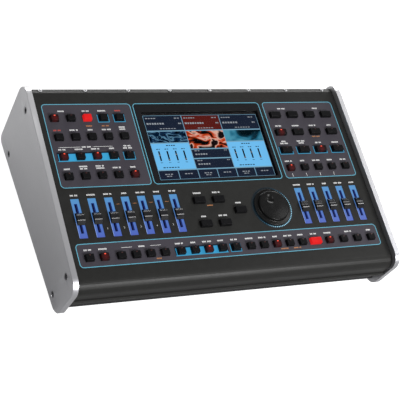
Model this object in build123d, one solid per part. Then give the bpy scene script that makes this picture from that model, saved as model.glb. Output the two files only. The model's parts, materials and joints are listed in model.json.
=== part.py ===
from build123d import *
from math import cos, hypot, radians, sin, tan
import os

# Desktop control desk: a wedge-shaped console with two aluminium cheeks, a folded black
# top panel, a touch display, push keys, back-lit slide faders and a data dial.
#
# Desk frame: the origin lies on the resting plane, under the middle of the footprint.
# X runs to the right, Y to the rear and Z up.
# Panel frame: x runs to the right, s up the slope to the rear and n out of the panel.
# Its origin is the front edge of the key strip's outline, on the panel's top face.
# Lengths are in millimetres and angles in degrees.

# Case
TILT = 9.0                  # slope of the control panel
WIDTH = 425.6               # over both cheeks
CHEEK_T = 7.0
CHEEK_RISE = 7.5            # the cheek's edge stands this far above the panel
CHEEK_LENGTH = 260.5        # along the slope, from the front edge to the rear corner
CHEEK_FRONT = 66.2          # height of the cheek's front edge
CHEEK_LEAN = 1.8            # the cheek's rear edge leans forward
CHEEK_CORNER_R = 16.0
CHEEK_HEEL_R = 9.5          # at the foot of the rear edge
CHEEK_EDGE = 0.8            # chamfer round the outer face
CASE_GAP = 0.2              # between a cheek and what stands beside it
FIT = 0.1                   # between a piece and the opening that it fills
BACKING = 0.1               # between two sheets that lie on each other

# Top panel
PANEL_T = 2.0
PANEL_LIP = 2.6             # the panel's front face lies this far behind the cheek's
STRIP_SETBACK = 28.9        # from the cheek's front edge to the key strip's outline
BULLNOSE_R = 13.0
PANEL_SKIRT = 29.0          # depth of the panel's front face
HEM = 4.6                   # folded edge at the foot of the front face
HEM_CHAMFER = 1.4
FLAT_SETBACK = 13.2         # from the cheek's rear corner to the end of the flat top
BEVEL_RUN = 7.6
BEVEL_DROP = 3.6
REAR_FLANGE = 8.0
BEND_R = 2.5

# Bottom tray and rear panel
FOOT_DROP = 3.0             # from the cheek's base to the resting plane
TRAY_RAISE = 5.0            # from the cheek's base to the tray
TRAY_T = 1.2
TRAY_SETBACK = 7.9          # from the cheek's front edge to the tray's front wall
TRAY_FRONT_TOP = 14.0       # the front wall ends this far below the panel's top face
SIDE_GAP = 0.8              # between the tray's side walls and the panel
SIDE_CORNER_R = 8.0
UPSTAND = 10.0              # tray's rear flange, behind which the rear panel stands
REAR_CLIP = 15.0            # corner cut from the side walls at the top rear
REAR_T = 1.5
REAR_BEND_R = 1.8
REAR_FLANGE_END = 2.5       # the rear panel's flange ends this far behind the flat top
FOOT_R = 10.0
FOOT_INSET_X = 30.0
FOOT_INSET_Y = 34.0
FOOT_STUB_R = 4.0
FOOT_STUB = 3.0
FOOT_EDGE = 1.0
VENT = (3.0, 26.0)
VENT_PITCH = 8.0
VENT_COUNT = 9
VENT_Y = -22.0

# Screws
CHEEK_SCREW_R = 2.5
CHEEK_HEAD_R = 4.0
CHEEK_HEAD = 3.2
CHEEK_SINK = 4.0            # depth of the head's recess
CHEEK_HEAD_EDGE = 0.4
HEX_R = 1.8
HEX_DEPTH = 1.9
HEAD_CLEARANCE = 0.3
SCREW_THROUGH = 2.0         # thread that shows behind the sheet it holds
SCREW_FRONT = 24.0          # screw rows from the cheek's front edge and rear corner
SCREW_REAR = 32.0
SCREW_TOP = 14.0
SCREW_BASE = 10.4
CASE_SCREW_R = 1.5
CASE_HEAD_R = 2.6
CASE_HEAD = 0.9
CASE_HEAD_ROUND = 0.5
CROSS = (2.8, 0.7)
CROSS_DEPTH = 0.5
BEVEL_SCREWS = 8
BEVEL_SCREW_PITCH = 54.8
LOWER_SCREWS = 5
LOWER_SCREW_PITCH = 96.0
LOWER_SCREW_UP = 6.0
SCREW_FIT = 0.05
SCREW_HOLE = 8.0            # depth that a case screw's hole is cut to
OVER = 1.0                  # cutters run this far past a face

# Columns, rows and keys
COLUMN_INSET = 21.4         # from a cheek to the outermost column
COLUMN_PITCH = 20.0
LEFT_FADERS = 7
RIGHT_FADERS = 5
KEY_COLUMNS = 5
ROW_BASE = 109.7            # s of the lowest key row beside the display
ROW_PITCH = 24.85
STRIP_S = 11.0
STRIP_PITCH = 17.5
STRIP_GROUPS = (2, 4, 5, 5)
KEY_LENGTH = 8.0
SMALL_KEY = 9.8
WIDE_KEY = 14.8
WIDE_PITCH = 25.0
KEY_RISE = 4.0
KEY_TAPER = 5.0
KEY_EDGE_R = 0.7
KEY_CLEARANCE = 0.35
KEY_TRAVEL = 0.8
KEY_FLANGE = 1.0            # rim under the panel that keeps the key in
KEY_FLANGE_T = 1.0
KEY_FLANGE_GAP = 0.3        # from a light guide's flange to a key's rim
KEY_STEM_R = 1.6
MENU_X = -33.4              # first column of the menu keys in the middle
MENU_ROWS = (42.4, 72.4)
ENTER_S = 57.4

# Light guides round some of the keys
GUIDE_MARGIN_X = 2.3
GUIDE_MARGIN_S = 1.7
GUIDE_SINK = 0.3
GUIDE_T = 2.6
GUIDE_FLANGE = 1.0
GUIDE_FLANGE_T = 1.2

# Faders
FADER_S = 58.5
FADER_TRAVEL = 30.0
FADER_REST = -1.5           # the caps rest this far from the middle of their travel
WINDOW_SIZE = (9.8, 47.8)
WINDOW_SINK = 0.5
LEVER = (1.2, 4.0)
LEVER_SLOT = 3.6
LEVER_END = 1.0             # free length of the slot at each end of the travel
SHOE = (5.0, 8.0, 2.4)
SHOE_CLEAR = 0.4
HOUSING = (9.0, 46.0, 6.5)
HOUSING_WALL = 1.2
CAP = (8.8, 14.4)
CAP_FOOT = 0.7              # underside of the cap above the panel
CAP_EDGE = 1.7
CAP_RIDGE = 5.2
CAP_DISH = 4.2
CAP_RIDGE_S = 3.5
CAP_SIDE_EDGE = 0.4
CAP_POCKET = 1.3            # the lever stands this deep in the cap

# Dial
DIAL_X = 60.1
DIAL_S = 58.2
DIAL_SKIRT_R = 24.0
DIAL_TOP_R = 18.9
DIAL_FOOT = 0.9
DIAL_SKIRT = 2.1
DIAL_EDGE = 5.9
DIAL_CROWN = 7.2
DIAL_STEP_OUT = 0.8
DIAL_STEP_RISE = 0.5
DIAL_DRAFT = 0.3
DIAL_RIM_IN = 0.7
DIAL_RIM_RISE = 0.6
DIMPLE_R = 6.3
DIMPLE_DEPTH = 2.2
DIMPLE_OUT = 9.35
DIMPLE_ANGLE = 119.0
SHAFT_R = 3.0
SHAFT_FIT = 0.05
SHAFT_TOP = 5.0
SHAFT_END = 2.0             # the shaft's foot above the board
BUSHING_R = 4.6
ENCODER = (13.0, 13.0, 7.0)
ENCODER_FLOOR = 1.5
RING_R = 26.8
RING_BORE_R = 6.5
RING_TOP = 0.3
RING_T = 2.9

# Display
DISPLAY_X = 4.9
DISPLAY_S = 146.5
DISPLAY_WINDOW = (158.4, 91.4)
GLASS_MARGIN = 3.0
GLASS_T = 1.1
MODULE_MARGIN = 1.0
MODULE_T = 5.4
MODULE_GAP = 0.3
BRACKET_T = 1.2
BRACKET_RIM = 2.0

# Boards and power
BOARD_T = 1.6
BOARD_TOP = -12.0           # n of the control board's top face
BOARD_INSET = 5.6           # from a cheek to the board's edge
BOARD_SPAN = (-4.0, 212.0)
SWITCH = (6.0, 6.0, 4.1)
POST_R = 2.2
POST_INSET = 5.5            # from the board's edge to the outer posts
INNER_POSTS = (-88.0, 94.0)
POST_ROWS = (6.0, 92.0, 206.0)
MAIN_INSET = 9.6            # from the left cheek to the main board's edge
MAIN_END = 96.0
MAIN_DEPTH = 108.0
MAIN_LIFT = 8.0
MAIN_BACK = 1.0
MAIN_POST_R = 3.0
MAIN_POST_INSET = 8.0
MAIN_POST_BACK = 12.0       # the rear posts stand clear of the case screws
SUPPLY = (84.0, 62.0, 26.0)
SUPPLY_EDGE_R = 1.5
SUPPLY_X = 155.0
SUPPLY_GAP = 3.0            # from the supply to the rear feet's stubs

# Sockets: how far each stands out of the rear panel, and the sizes of its body and mouth
JACK_X = -178.0
JACK_PITCH = 22.0
JACK_COUNT = 6
JACK_BODY = (14.0, 24.0, 15.0)
JACK_NOSE_R = 4.6
JACK_NOSE = 3.0
JACK_BORE_R = 3.25
JACK_DEPTH = 22.0
MIDI_X = (-42.0, -17.0)
MIDI_BODY = (19.0, 16.0, 20.0)
MIDI_NOSE_R = 8.6
MIDI_NOSE = 0.6
MIDI_BORE_R = 6.9
MIDI_DEPTH = 9.0
# x, body width, body height, mouth width and mouth height of each data socket
DATA_SOCKETS = ((12.0, 16.6, 7.0, 14.2, 4.8), (40.0, 14.6, 7.4, 12.6, 5.0), (64.0, 12.6, 11.6, 8.8, 8.2))
DATA_DEPTH = 10.0
DATA_LENGTH = 15.0
DATA_NOSE = 0.8
INLET_X = 158.0
INLET_Z = 33.0
INLET_PLATE = (54.0, 2.4, 30.0)
INLET_BODY = (50.0, 24.0, 26.0)
INLET_CORNER_R = 2.0
INLET_MOUTH = (25.0, 17.0, 17.0)
INLET_MOUTH_DX = 10.0
ROCKER_WELL = (13.0, 9.0, 20.8)
ROCKER_DX = -16.5
ROCKER = (12.2, 18.4)
ROCKER_SWING = 16.0
ROCKER_PIVOT = 3.0          # pivot behind the plate's face
ROCKER_HORN = 1.5
ROCKER_HUB_R = 3.0
ROCKER_DIP = 0.6            # the middle of its face lies this far back
ROCKER_EDGE_R = 0.6

SIN = sin(radians(TILT))
COS = cos(radians(TILT))
FACE_S = -STRIP_SETBACK                     # cheek's front edge
CORNER_S = FACE_S + CHEEK_LENGTH            # cheek's rear corner
FLAT_END = CORNER_S - FLAT_SETBACK
PANEL_FACE_S = FACE_S + PANEL_LIP
INNER_WIDTH = WIDTH - 2 * CHEEK_T - 2 * CASE_GAP
COLUMN = INNER_WIDTH / 2 - COLUMN_INSET     # from the middle to the outermost column
BOARD_EDGE_X = INNER_WIDTH / 2 - BOARD_INSET
POST_COLUMNS = (POST_INSET - BOARD_EDGE_X, BOARD_EDGE_X - POST_INSET)
MAIN_SPAN = (MAIN_INSET - INNER_WIDTH / 2, MAIN_END)
KEY_FLANGE_N = -PANEL_T - GUIDE_FLANGE_T - KEY_FLANGE_GAP
PANEL_ORIGIN_Z = FOOT_DROP - FACE_S * SIN - (CHEEK_RISE - CHEEK_FRONT) * COS
TRAY_Z = FOOT_DROP + TRAY_RAISE
FLOOR_Z = TRAY_Z + TRAY_T


def turned(s, n):
    """Desk y and z of a panel point, before the desk is centred on its footprint."""
    return s * COS - n * SIN, PANEL_ORIGIN_Z + s * SIN + n * COS


def cheek_outline():
    """Cheek seen from the side: rounded nose and rear corner, level base."""
    nose = turned(FACE_S, CHEEK_RISE)
    toe = turned(FACE_S, CHEEK_RISE - CHEEK_FRONT)
    corner = turned(CORNER_S, CHEEK_RISE)
    heel = (corner[0] + (corner[1] - FOOT_DROP) * tan(radians(CHEEK_LEAN)), FOOT_DROP)
    radii = [CHEEK_CORNER_R, CHEEK_CORNER_R, CHEEK_HEEL_R, CHEEK_CORNER_R]
    return rounded_face((nose, toe, heel, corner), radii)


def rounded_face(points, radii):
    """Closed outline in the desk's YZ plane with a radius at each corner."""
    return make_face(Plane.YZ * FilletPolyline(*points, radius=radii, close=True))


def middle_of(face):
    """Desk y of the middle of a face."""
    box = face.bounding_box()
    return (box.min.Y + box.max.Y) / 2


PANEL_ORIGIN_Y = -middle_of(cheek_outline())
PANEL = Plane(origin=(0, PANEL_ORIGIN_Y, PANEL_ORIGIN_Z), x_dir=(1, 0, 0), z_dir=(0, -SIN, COS))


def desk(s, n):
    """Desk y and z of a panel point."""
    y, z = turned(s, n)
    return PANEL_ORIGIN_Y + y, z


def n_at(s, z):
    """Height n at which the line of constant s reaches the desk height z."""
    return (z - PANEL_ORIGIN_Z - s * SIN) / COS


def beside(points, gap):
    """Corners of the open outline that runs gap to the right of the given one."""
    shifted = []
    for (y0, z0), (y1, z1) in zip(points, points[1:]):
        length = hypot(y1 - y0, z1 - z0)
        uy, uz = (y1 - y0) / length, (z1 - z0) / length
        shifted.append((y0 + uz * gap, z0 - uy * gap, uy, uz, length))
    first = shifted[0]
    last = shifted[-1]
    corners = [(first[0], first[1])]
    for (ay, az, uy, uz, _), (by, bz, vy, vz, _) in zip(shifted, shifted[1:]):
        along = ((by - ay) * vz - (bz - az) * vy) / (uy * vz - uz * vy)
        corners.append((ay + uy * along, az + uz * along))
    corners.append((last[0] + last[2] * last[4], last[1] + last[3] * last[4]))
    return corners


def sheet(points, bends, thickness, width):
    """Folded sheet across the desk: its outer corners, with the inside to their right."""
    outer = FilletPolyline(*points, radius=bends)
    inner = FilletPolyline(*beside(points, thickness), radius=[bend - thickness for bend in bends])
    ends = Line(outer @ 0, inner @ 0) + Line(outer @ 1, inner @ 1)
    return extrude(make_face(Plane.YZ * (outer + inner + ends)), width / 2, both=True)


def plate(width, length, low, high):
    """Block in the panel frame between the heights low and high."""
    return Pos(0, 0, (low + high) / 2) * Box(width, length, high - low)


def disc(radius, low, high):
    """Round block in the panel frame between the heights low and high."""
    return Pos(0, 0, (low + high) / 2) * Cylinder(radius, high - low)


def at(x, s, shape):
    """Shape from the panel frame, set down at x and s."""
    return PANEL * Pos(x, s, 0) * shape


def to_rear(x, z, shape):
    """Shape drawn with +Z out of its face, set on the rear panel's outer face at x and z."""
    return Pos(x, REAR_Y, z) * Rot(-90, 0, 0) * shape


def save(node, *solids):
    """Write one node, whose solids stay separate."""
    shape = solids[0] if len(solids) == 1 else Compound(children=list(solids))
    export_step(shape, f"parts/{node}.step")


# Places that several pieces share
PANEL_PATH = [
    desk(PANEL_FACE_S, -PANEL_SKIRT),
    desk(PANEL_FACE_S, 0),
    desk(FLAT_END, 0),
    desk(FLAT_END + BEVEL_RUN, -BEVEL_DROP),
]
PANEL_PATH.append((PANEL_PATH[-1][0], PANEL_PATH[-1][1] - REAR_FLANGE))
UNDER_BEVEL = beside(PANEL_PATH[2:], PANEL_T + BACKING)
REAR_Y = UNDER_BEVEL[2][0]
TRAY_REAR_Y = REAR_Y - REAR_T - BACKING
TRAY_S = FACE_S + TRAY_SETBACK
MAIN_TOP = FLOOR_Z + MAIN_LIFT + BOARD_T
MAIN_REAR_Y = TRAY_REAR_Y - TRAY_T - MAIN_BACK


def key_row(first, pitch, count, s):
    """Places of one row of keys."""
    return [(first + pitch * index, s) for index in range(count)]


def fader_columns():
    """The x of every fader, from the left."""
    left = [COLUMN_PITCH * index - COLUMN for index in range(LEFT_FADERS)]
    right = [COLUMN - COLUMN_PITCH * index for index in reversed(range(RIGHT_FADERS))]
    return left, right


def strip_places():
    """Places of the groups of keys along the front strip, from the left."""
    groups = []
    x = -COLUMN
    for count in STRIP_GROUPS:
        groups.append(key_row(x, STRIP_PITCH, count, STRIP_S))
        x += STRIP_PITCH * (count - 1) + COLUMN_PITCH
    return groups


def side_row(side, row):
    """Small keys beside the display: side -1 is left and 1 is right, row 0 is the lowest."""
    first = -COLUMN if side < 0 else COLUMN - COLUMN_PITCH * (KEY_COLUMNS - 1)
    return key_row(first, COLUMN_PITCH, KEY_COLUMNS, ROW_BASE + ROW_PITCH * row)


def wide_row(row):
    """Wide keys to the right of the display, flush with the small keys' outer edges."""
    last = COLUMN + (SMALL_KEY - WIDE_KEY) / 2
    return key_row(last - 3 * WIDE_PITCH, WIDE_PITCH, 4, ROW_BASE + ROW_PITCH * row)


def key_banks():
    """Every bank of keys that presses together: node name, key width and places."""
    pace, intro, variation, breaks = strip_places()
    record_row = side_row(-1, 3)
    end_row = side_row(1, 0)
    banks = {
        "player_keys": (SMALL_KEY, record_row[:2]),
        "record_key": (SMALL_KEY, record_row[2:3]),
        "effect_keys": (SMALL_KEY, record_row[3:]),
        "search_keys": (SMALL_KEY, side_row(-1, 2)),
        "bass_keys": (SMALL_KEY, side_row(-1, 1)),
        "sound_keys": (SMALL_KEY, side_row(-1, 0)),
        "shift_keys": (WIDE_KEY, wide_row(3)),
        "touch_keys": (WIDE_KEY, wide_row(2)),
        "register_keys": (WIDE_KEY, wide_row(1)),
        "voice_keys": (SMALL_KEY, end_row),
        "exit_key": (WIDE_KEY, [(MENU_X, MENU_ROWS[1])]),
        "save_key": (WIDE_KEY, [(MENU_X + WIDE_PITCH, MENU_ROWS[1])]),
        "media_key": (WIDE_KEY, [(MENU_X, MENU_ROWS[0])]),
        "menu_key": (WIDE_KEY, [(MENU_X + WIDE_PITCH, MENU_ROWS[0])]),
        "enter_key": (WIDE_KEY, [(MENU_X + 2 * WIDE_PITCH, ENTER_S)]),
        "intro_keys": (SMALL_KEY, pace + intro),
        "variation_keys": (SMALL_KEY, variation),
        "break_keys": (SMALL_KEY, breaks),
        "start_key": (WIDE_KEY, [(end_row[0][0], STRIP_S)]),
        "tempo_keys": (SMALL_KEY, [(x, STRIP_S) for x, _ in end_row[1:]]),
    }
    return banks


def lit_banks():
    """Keys with a light guide round them: key width and the places that share a guide."""
    banks = key_banks()
    bass = banks["bass_keys"][1]
    variation = banks["variation_keys"][1]
    alone = [(SMALL_KEY, [place]) for place in banks["effect_keys"][1] + [bass[4], variation[4]]]
    wide = [(WIDE_KEY, [place]) for place in banks["register_keys"][1]]
    return [(SMALL_KEY, bass[:4]), (SMALL_KEY, variation[:4])] + alone + wide


def guide_size(width, places):
    """Centre x, s, width and length of the guide round a run of keys."""
    first, last = places[0][0], places[-1][0]
    across = last - first + width + 2 * GUIDE_MARGIN_X
    return (first + last) / 2, places[0][1], across, KEY_LENGTH + 2 * GUIDE_MARGIN_S


def key_cutters(width, places, depth):
    """Holes for a run of keys, deep enough for a sheet below the panel's top face."""
    hole = plate(width + 2 * KEY_CLEARANCE, KEY_LENGTH + 2 * KEY_CLEARANCE, -depth, depth)
    return [Pos(x, s, 0) * hole for x, s in places]


def fader_windows():
    """One back-lit window for each fader, with the slot for its lever."""
    slot = plate(LEVER_SLOT, FADER_TRAVEL + LEVER[1] + 2 * LEVER_END, -PANEL_T * 2, OVER)
    light = plate(*WINDOW_SIZE, -PANEL_T, -WINDOW_SINK)
    flange = plate(
        WINDOW_SIZE[0] + 2 * GUIDE_FLANGE,
        WINDOW_SIZE[1] + 2 * GUIDE_FLANGE,
        -PANEL_T - GUIDE_FLANGE_T,
        -PANEL_T,
    )
    window = light + flange - slot
    left, right = fader_columns()
    return [at(x, FADER_S, window) for x in left + right]


def key_light_guides():
    """Clear plates round the lit keys, held by a flange under the panel."""
    guides = []
    for width, places in lit_banks():
        x, s, across, length = guide_size(width, places)
        guide = plate(across, length, -GUIDE_T, -GUIDE_SINK)
        flange = plate(
            across + 2 * GUIDE_FLANGE,
            length + 2 * GUIDE_FLANGE,
            -PANEL_T - GUIDE_FLANGE_T,
            -PANEL_T,
        )
        guide = Pos(x, s, 0) * (guide + flange)
        for hole in key_cutters(width, places, PANEL_T * 2):
            guide -= hole
        guides.append(PANEL * guide)
    return guides


def panel_cutters():
    """Everything that is cut from the flat of the top panel, in the panel frame."""
    cutters = []
    guided = [place for _, places in lit_banks() for place in places]
    for width, places in key_banks().values():
        cutters += key_cutters(width, [place for place in places if place not in guided], PANEL_T * 2)
    for width, places in lit_banks():
        x, s, across, length = guide_size(width, places)
        hole = plate(across + 2 * FIT, length + 2 * FIT, -PANEL_T * 2, OVER)
        cutters.append(Pos(x, s, 0) * hole)
    left, right = fader_columns()
    window = plate(WINDOW_SIZE[0] + 2 * FIT, WINDOW_SIZE[1] + 2 * FIT, -PANEL_T * 2, OVER)
    cutters += [Pos(x, FADER_S, 0) * window for x in left + right]
    cutters.append(Pos(DIAL_X, DIAL_S, 0) * disc(RING_R + FIT, -PANEL_T * 2, OVER))
    cutters.append(Pos(DISPLAY_X, DISPLAY_S, 0) * plate(*DISPLAY_WINDOW, -PANEL_T * 2, OVER))
    return cutters


def bevel_screw_frame(index):
    """Place of one screw on the rear bevel, with +Z out of the bevel."""
    y = (PANEL_PATH[2][0] + PANEL_PATH[3][0]) / 2
    z = (PANEL_PATH[2][1] + PANEL_PATH[3][1]) / 2
    run = PANEL_PATH[3][0] - PANEL_PATH[2][0]
    drop = PANEL_PATH[3][1] - PANEL_PATH[2][1]
    x = (index - (BEVEL_SCREWS - 1) / 2) * BEVEL_SCREW_PITCH
    return Plane(origin=(x, y, z), x_dir=(1, 0, 0), z_dir=(0, -drop, run))


def lower_screw_frame(index):
    """Place of one screw at the foot of the rear panel, with +Z out of the panel."""
    x = (index - (LOWER_SCREWS - 1) / 2) * LOWER_SCREW_PITCH
    return Plane(origin=(x, REAR_Y, TRAY_Z + LOWER_SCREW_UP), x_dir=(1, 0, 0), z_dir=(0, 1, 0))


def case_screw(thickness):
    """Round-headed case screw through sheets of the given total thickness."""
    length = thickness + SCREW_THROUGH
    head = fillet(disc(CASE_HEAD_R, 0, CASE_HEAD).edges().sort_by(Axis.Z)[-1], CASE_HEAD_ROUND)
    slot = plate(*CROSS, CASE_HEAD - CROSS_DEPTH, CASE_HEAD)
    cross = slot + Rot(0, 0, 90) * slot
    return head - cross + disc(CASE_SCREW_R, -length, 0)


def rear_screws():
    """Case screws along the rear bevel and the foot of the rear panel."""
    upper = case_screw(PANEL_T + BACKING + REAR_T)
    lower = case_screw(REAR_T + BACKING + TRAY_T)
    screws = [bevel_screw_frame(index) * upper for index in range(BEVEL_SCREWS)]
    return screws + [lower_screw_frame(index) * lower for index in range(LOWER_SCREWS)]


def case_screw_holes(frames):
    """Holes for case screws, through whatever lies near each frame."""
    hole = disc(CASE_SCREW_R + SCREW_FIT, -SCREW_HOLE, OVER)
    return [frame * hole for frame in frames]


def bevel_frames():
    """All places on the bevel."""
    return [bevel_screw_frame(index) for index in range(BEVEL_SCREWS)]


def lower_frames():
    """All places at the foot of the rear panel."""
    return [lower_screw_frame(index) for index in range(LOWER_SCREWS)]


def top_panel():
    """Folded top sheet with a bullnose, a front hem, a rear bevel and all its openings."""
    panel = sheet(PANEL_PATH, [BULLNOSE_R, BEND_R, BEND_R], PANEL_T, INNER_WIDTH)
    hem = [
        desk(PANEL_FACE_S, -PANEL_SKIRT),
        desk(PANEL_FACE_S - PANEL_T, -PANEL_SKIRT),
        desk(PANEL_FACE_S - PANEL_T, HEM - PANEL_SKIRT - HEM_CHAMFER),
        desk(PANEL_FACE_S - PANEL_T + HEM_CHAMFER, HEM - PANEL_SKIRT),
        desk(PANEL_FACE_S, HEM - PANEL_SKIRT),
    ]
    panel += extrude(make_face(Plane.YZ * Polyline(*hem, close=True)), INNER_WIDTH / 2, both=True)
    panel -= [PANEL * cutter for cutter in panel_cutters()]
    return panel - case_screw_holes(bevel_frames())


def cheek_screw_places():
    """Desk y and z of the four screws in each cheek."""
    front_s = FACE_S + SCREW_FRONT
    front = desk(front_s, CHEEK_RISE - SCREW_TOP)
    rear = desk(CORNER_S - SCREW_REAR, CHEEK_RISE - SCREW_TOP)
    base_z = FOOT_DROP + SCREW_BASE
    front_base = desk(front_s, n_at(front_s, base_z))
    return [front, rear, front_base, (rear[0], base_z)]


def cheek(side):
    """Side plate; side is -1 for the left and 1 for the right."""
    body = extrude(Pos(0, PANEL_ORIGIN_Y, 0) * cheek_outline(), CHEEK_T)
    body = Pos(WIDTH / 2 - CHEEK_T, 0, 0) * body
    body = chamfer(body.faces().sort_by(Axis.X)[-1].edges(), CHEEK_EDGE)
    for y, z in cheek_screw_places():
        turn = Pos(WIDTH / 2, y, z) * Rot(0, 90, 0)
        body -= turn * disc(CHEEK_SCREW_R + 2 * SCREW_FIT, -2 * CHEEK_T, OVER)
        body -= turn * disc(CHEEK_HEAD_R + HEAD_CLEARANCE, -CHEEK_SINK, OVER)
    return body if side > 0 else mirror(body, Plane.YZ)


def cheek_screws():
    """Eight socket screws, each sunk into a cheek and threaded into the tray's side wall."""
    length = CHEEK_T - CHEEK_SINK + CASE_GAP + TRAY_T + SCREW_THROUGH
    head = disc(CHEEK_HEAD_R, 0, CHEEK_HEAD)
    head = chamfer(head.edges().sort_by(Axis.Z)[-1], CHEEK_HEAD_EDGE)
    socket = Pos(0, 0, CHEEK_HEAD - HEX_DEPTH) * extrude(RegularPolygon(HEX_R, 6), CHEEK_HEAD)
    screw = head - socket + disc(CHEEK_SCREW_R, -length, 0)
    screws = []
    for y, z in cheek_screw_places():
        right = Pos(WIDTH / 2 - CHEEK_SINK, y, z) * Rot(0, 90, 0) * screw
        screws += [right, mirror(right, Plane.YZ)]
    return screws


def foot_places():
    """Desk x and y of the four feet."""
    front_y = desk(TRAY_S, n_at(TRAY_S, TRAY_Z))[0] + FOOT_INSET_Y
    rear_y = REAR_Y - FOOT_INSET_Y
    x = INNER_WIDTH / 2 - FOOT_INSET_X
    return [(side * x, y) for side in (-1, 1) for y in (front_y, rear_y)]


def rubber_feet():
    """Four round feet, each with a stub pushed through the tray."""
    foot = disc(FOOT_R, 0, TRAY_Z)
    foot = chamfer(foot.edges().sort_by(Axis.Z)[0], FOOT_EDGE)
    foot += disc(FOOT_STUB_R, TRAY_Z, TRAY_Z + FOOT_STUB)
    return [Pos(x, y, 0) * foot for x, y in foot_places()]


def bottom_tray():
    """Open tray with a front wall, two side walls and a low rear flange."""
    front_bottom = desk(TRAY_S, n_at(TRAY_S, TRAY_Z))
    path = [
        (TRAY_REAR_Y, TRAY_Z + UPSTAND),
        (TRAY_REAR_Y, TRAY_Z),
        front_bottom,
        desk(TRAY_S, -TRAY_FRONT_TOP),
    ]
    tray = sheet(path, [BEND_R, BEND_R], TRAY_T, INNER_WIDTH)
    side_top = PANEL_T + SIDE_GAP
    top_rear = desk(FLAT_END, -side_top)
    outline = (
        desk(TRAY_S, -side_top),
        front_bottom,
        (TRAY_REAR_Y, TRAY_Z),
        (TRAY_REAR_Y, top_rear[1] - REAR_CLIP),
        (TRAY_REAR_Y - REAR_CLIP, top_rear[1] - (top_rear[0] - TRAY_REAR_Y + REAR_CLIP) * SIN / COS),
    )
    radii = [SIDE_CORNER_R, BEND_R, BEND_R, 0, 0]
    wall = extrude(rounded_face(outline, radii), TRAY_T)
    tray += Pos(INNER_WIDTH / 2 - TRAY_T, 0, 0) * wall
    tray += Pos(-INNER_WIDTH / 2, 0, 0) * wall
    for x, y in foot_places():
        tray -= Pos(x, y, TRAY_Z) * disc(FOOT_STUB_R, -TRAY_T, 3 * TRAY_T)
    for y, z in cheek_screw_places():
        tray -= Pos(0, y, z) * Rot(0, 90, 0) * disc(CHEEK_SCREW_R + SCREW_FIT, -WIDTH / 2, WIDTH / 2)
    tray -= case_screw_holes(lower_frames())
    for x in (SUPPLY_X, (MAIN_SPAN[0] + MAIN_SPAN[1]) / 2):
        for index in range(VENT_COUNT):
            shift = (index - (VENT_COUNT - 1) / 2) * VENT_PITCH
            tray -= Pos(x + shift, VENT_Y, TRAY_Z) * Box(*VENT, 4 * TRAY_T)
    return tray


def socket_holes():
    """Openings for the sockets in the rear panel, drawn on its outer face."""
    deep = 3 * REAR_T
    holes = []
    for x, z in jack_places():
        holes.append(to_rear(x, z, disc(JACK_NOSE_R + FIT, -deep, deep)))
    for x, z in midi_places():
        holes.append(to_rear(x, z, disc(MIDI_NOSE_R + FIT, -deep, deep)))
    for x, width, height, _, _ in DATA_SOCKETS:
        hole = plate(width + 2 * FIT, height + 2 * FIT, -deep, deep)
        holes.append(to_rear(x, MAIN_TOP + height / 2, hole))
    hole = plate(INLET_BODY[0] + 2 * FIT, INLET_BODY[2] + 2 * FIT, -deep, deep)
    holes.append(to_rear(INLET_X, INLET_Z, hole))
    return holes


def rear_panel():
    """Upright socket panel with a flange folded under the top panel's bevel."""
    run = UNDER_BEVEL[0][0] - UNDER_BEVEL[1][0]
    rise = UNDER_BEVEL[0][1] - UNDER_BEVEL[1][1]
    length = hypot(run, rise)
    share = REAR_FLANGE_END / length
    fold = (UNDER_BEVEL[0][0] - run * share, UNDER_BEVEL[0][1] - rise * share)
    path = [fold, UNDER_BEVEL[1], (REAR_Y, TRAY_Z)]
    panel = sheet(path, [REAR_BEND_R], REAR_T, INNER_WIDTH)
    panel -= case_screw_holes(bevel_frames())
    panel -= case_screw_holes(lower_frames())
    return panel - socket_holes()


def jack_places():
    """Desk x and z of the jack sockets."""
    z = MAIN_TOP + JACK_BODY[2] / 2
    return [(JACK_X + JACK_PITCH * index, z) for index in range(JACK_COUNT)]


def midi_places():
    """Desk x and z of the round data sockets."""
    return [(x, MAIN_TOP + MIDI_BODY[2] / 2) for x in MIDI_X]


def behind(body):
    """Block of a socket's body, just inside the rear panel."""
    return plate(body[0], body[2], -REAR_T - BACKING - body[1], -REAR_T - BACKING)


def audio_sockets():
    """Jack sockets with a threaded nose through the rear panel."""
    socket = behind(JACK_BODY) + disc(JACK_NOSE_R, -REAR_T - BACKING, JACK_NOSE)
    socket -= disc(JACK_BORE_R, JACK_NOSE - JACK_DEPTH, JACK_NOSE + OVER)
    return [to_rear(x, z, socket) for x, z in jack_places()]


def midi_sockets():
    """Round five-pole sockets."""
    socket = behind(MIDI_BODY) + disc(MIDI_NOSE_R, -REAR_T - BACKING, MIDI_NOSE)
    socket -= disc(MIDI_BORE_R, MIDI_NOSE - MIDI_DEPTH, MIDI_NOSE + OVER)
    return [to_rear(x, z, socket) for x, z in midi_places()]


def data_sockets():
    """Rectangular video and serial sockets that stand on the main board."""
    sockets = []
    for x, width, height, mouth_width, mouth_height in DATA_SOCKETS:
        socket = plate(width, height, -DATA_LENGTH, DATA_NOSE)
        socket -= plate(mouth_width, mouth_height, DATA_NOSE - DATA_DEPTH, DATA_NOSE + OVER)
        sockets.append(to_rear(x, MAIN_TOP + height / 2, socket))
    return sockets


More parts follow.
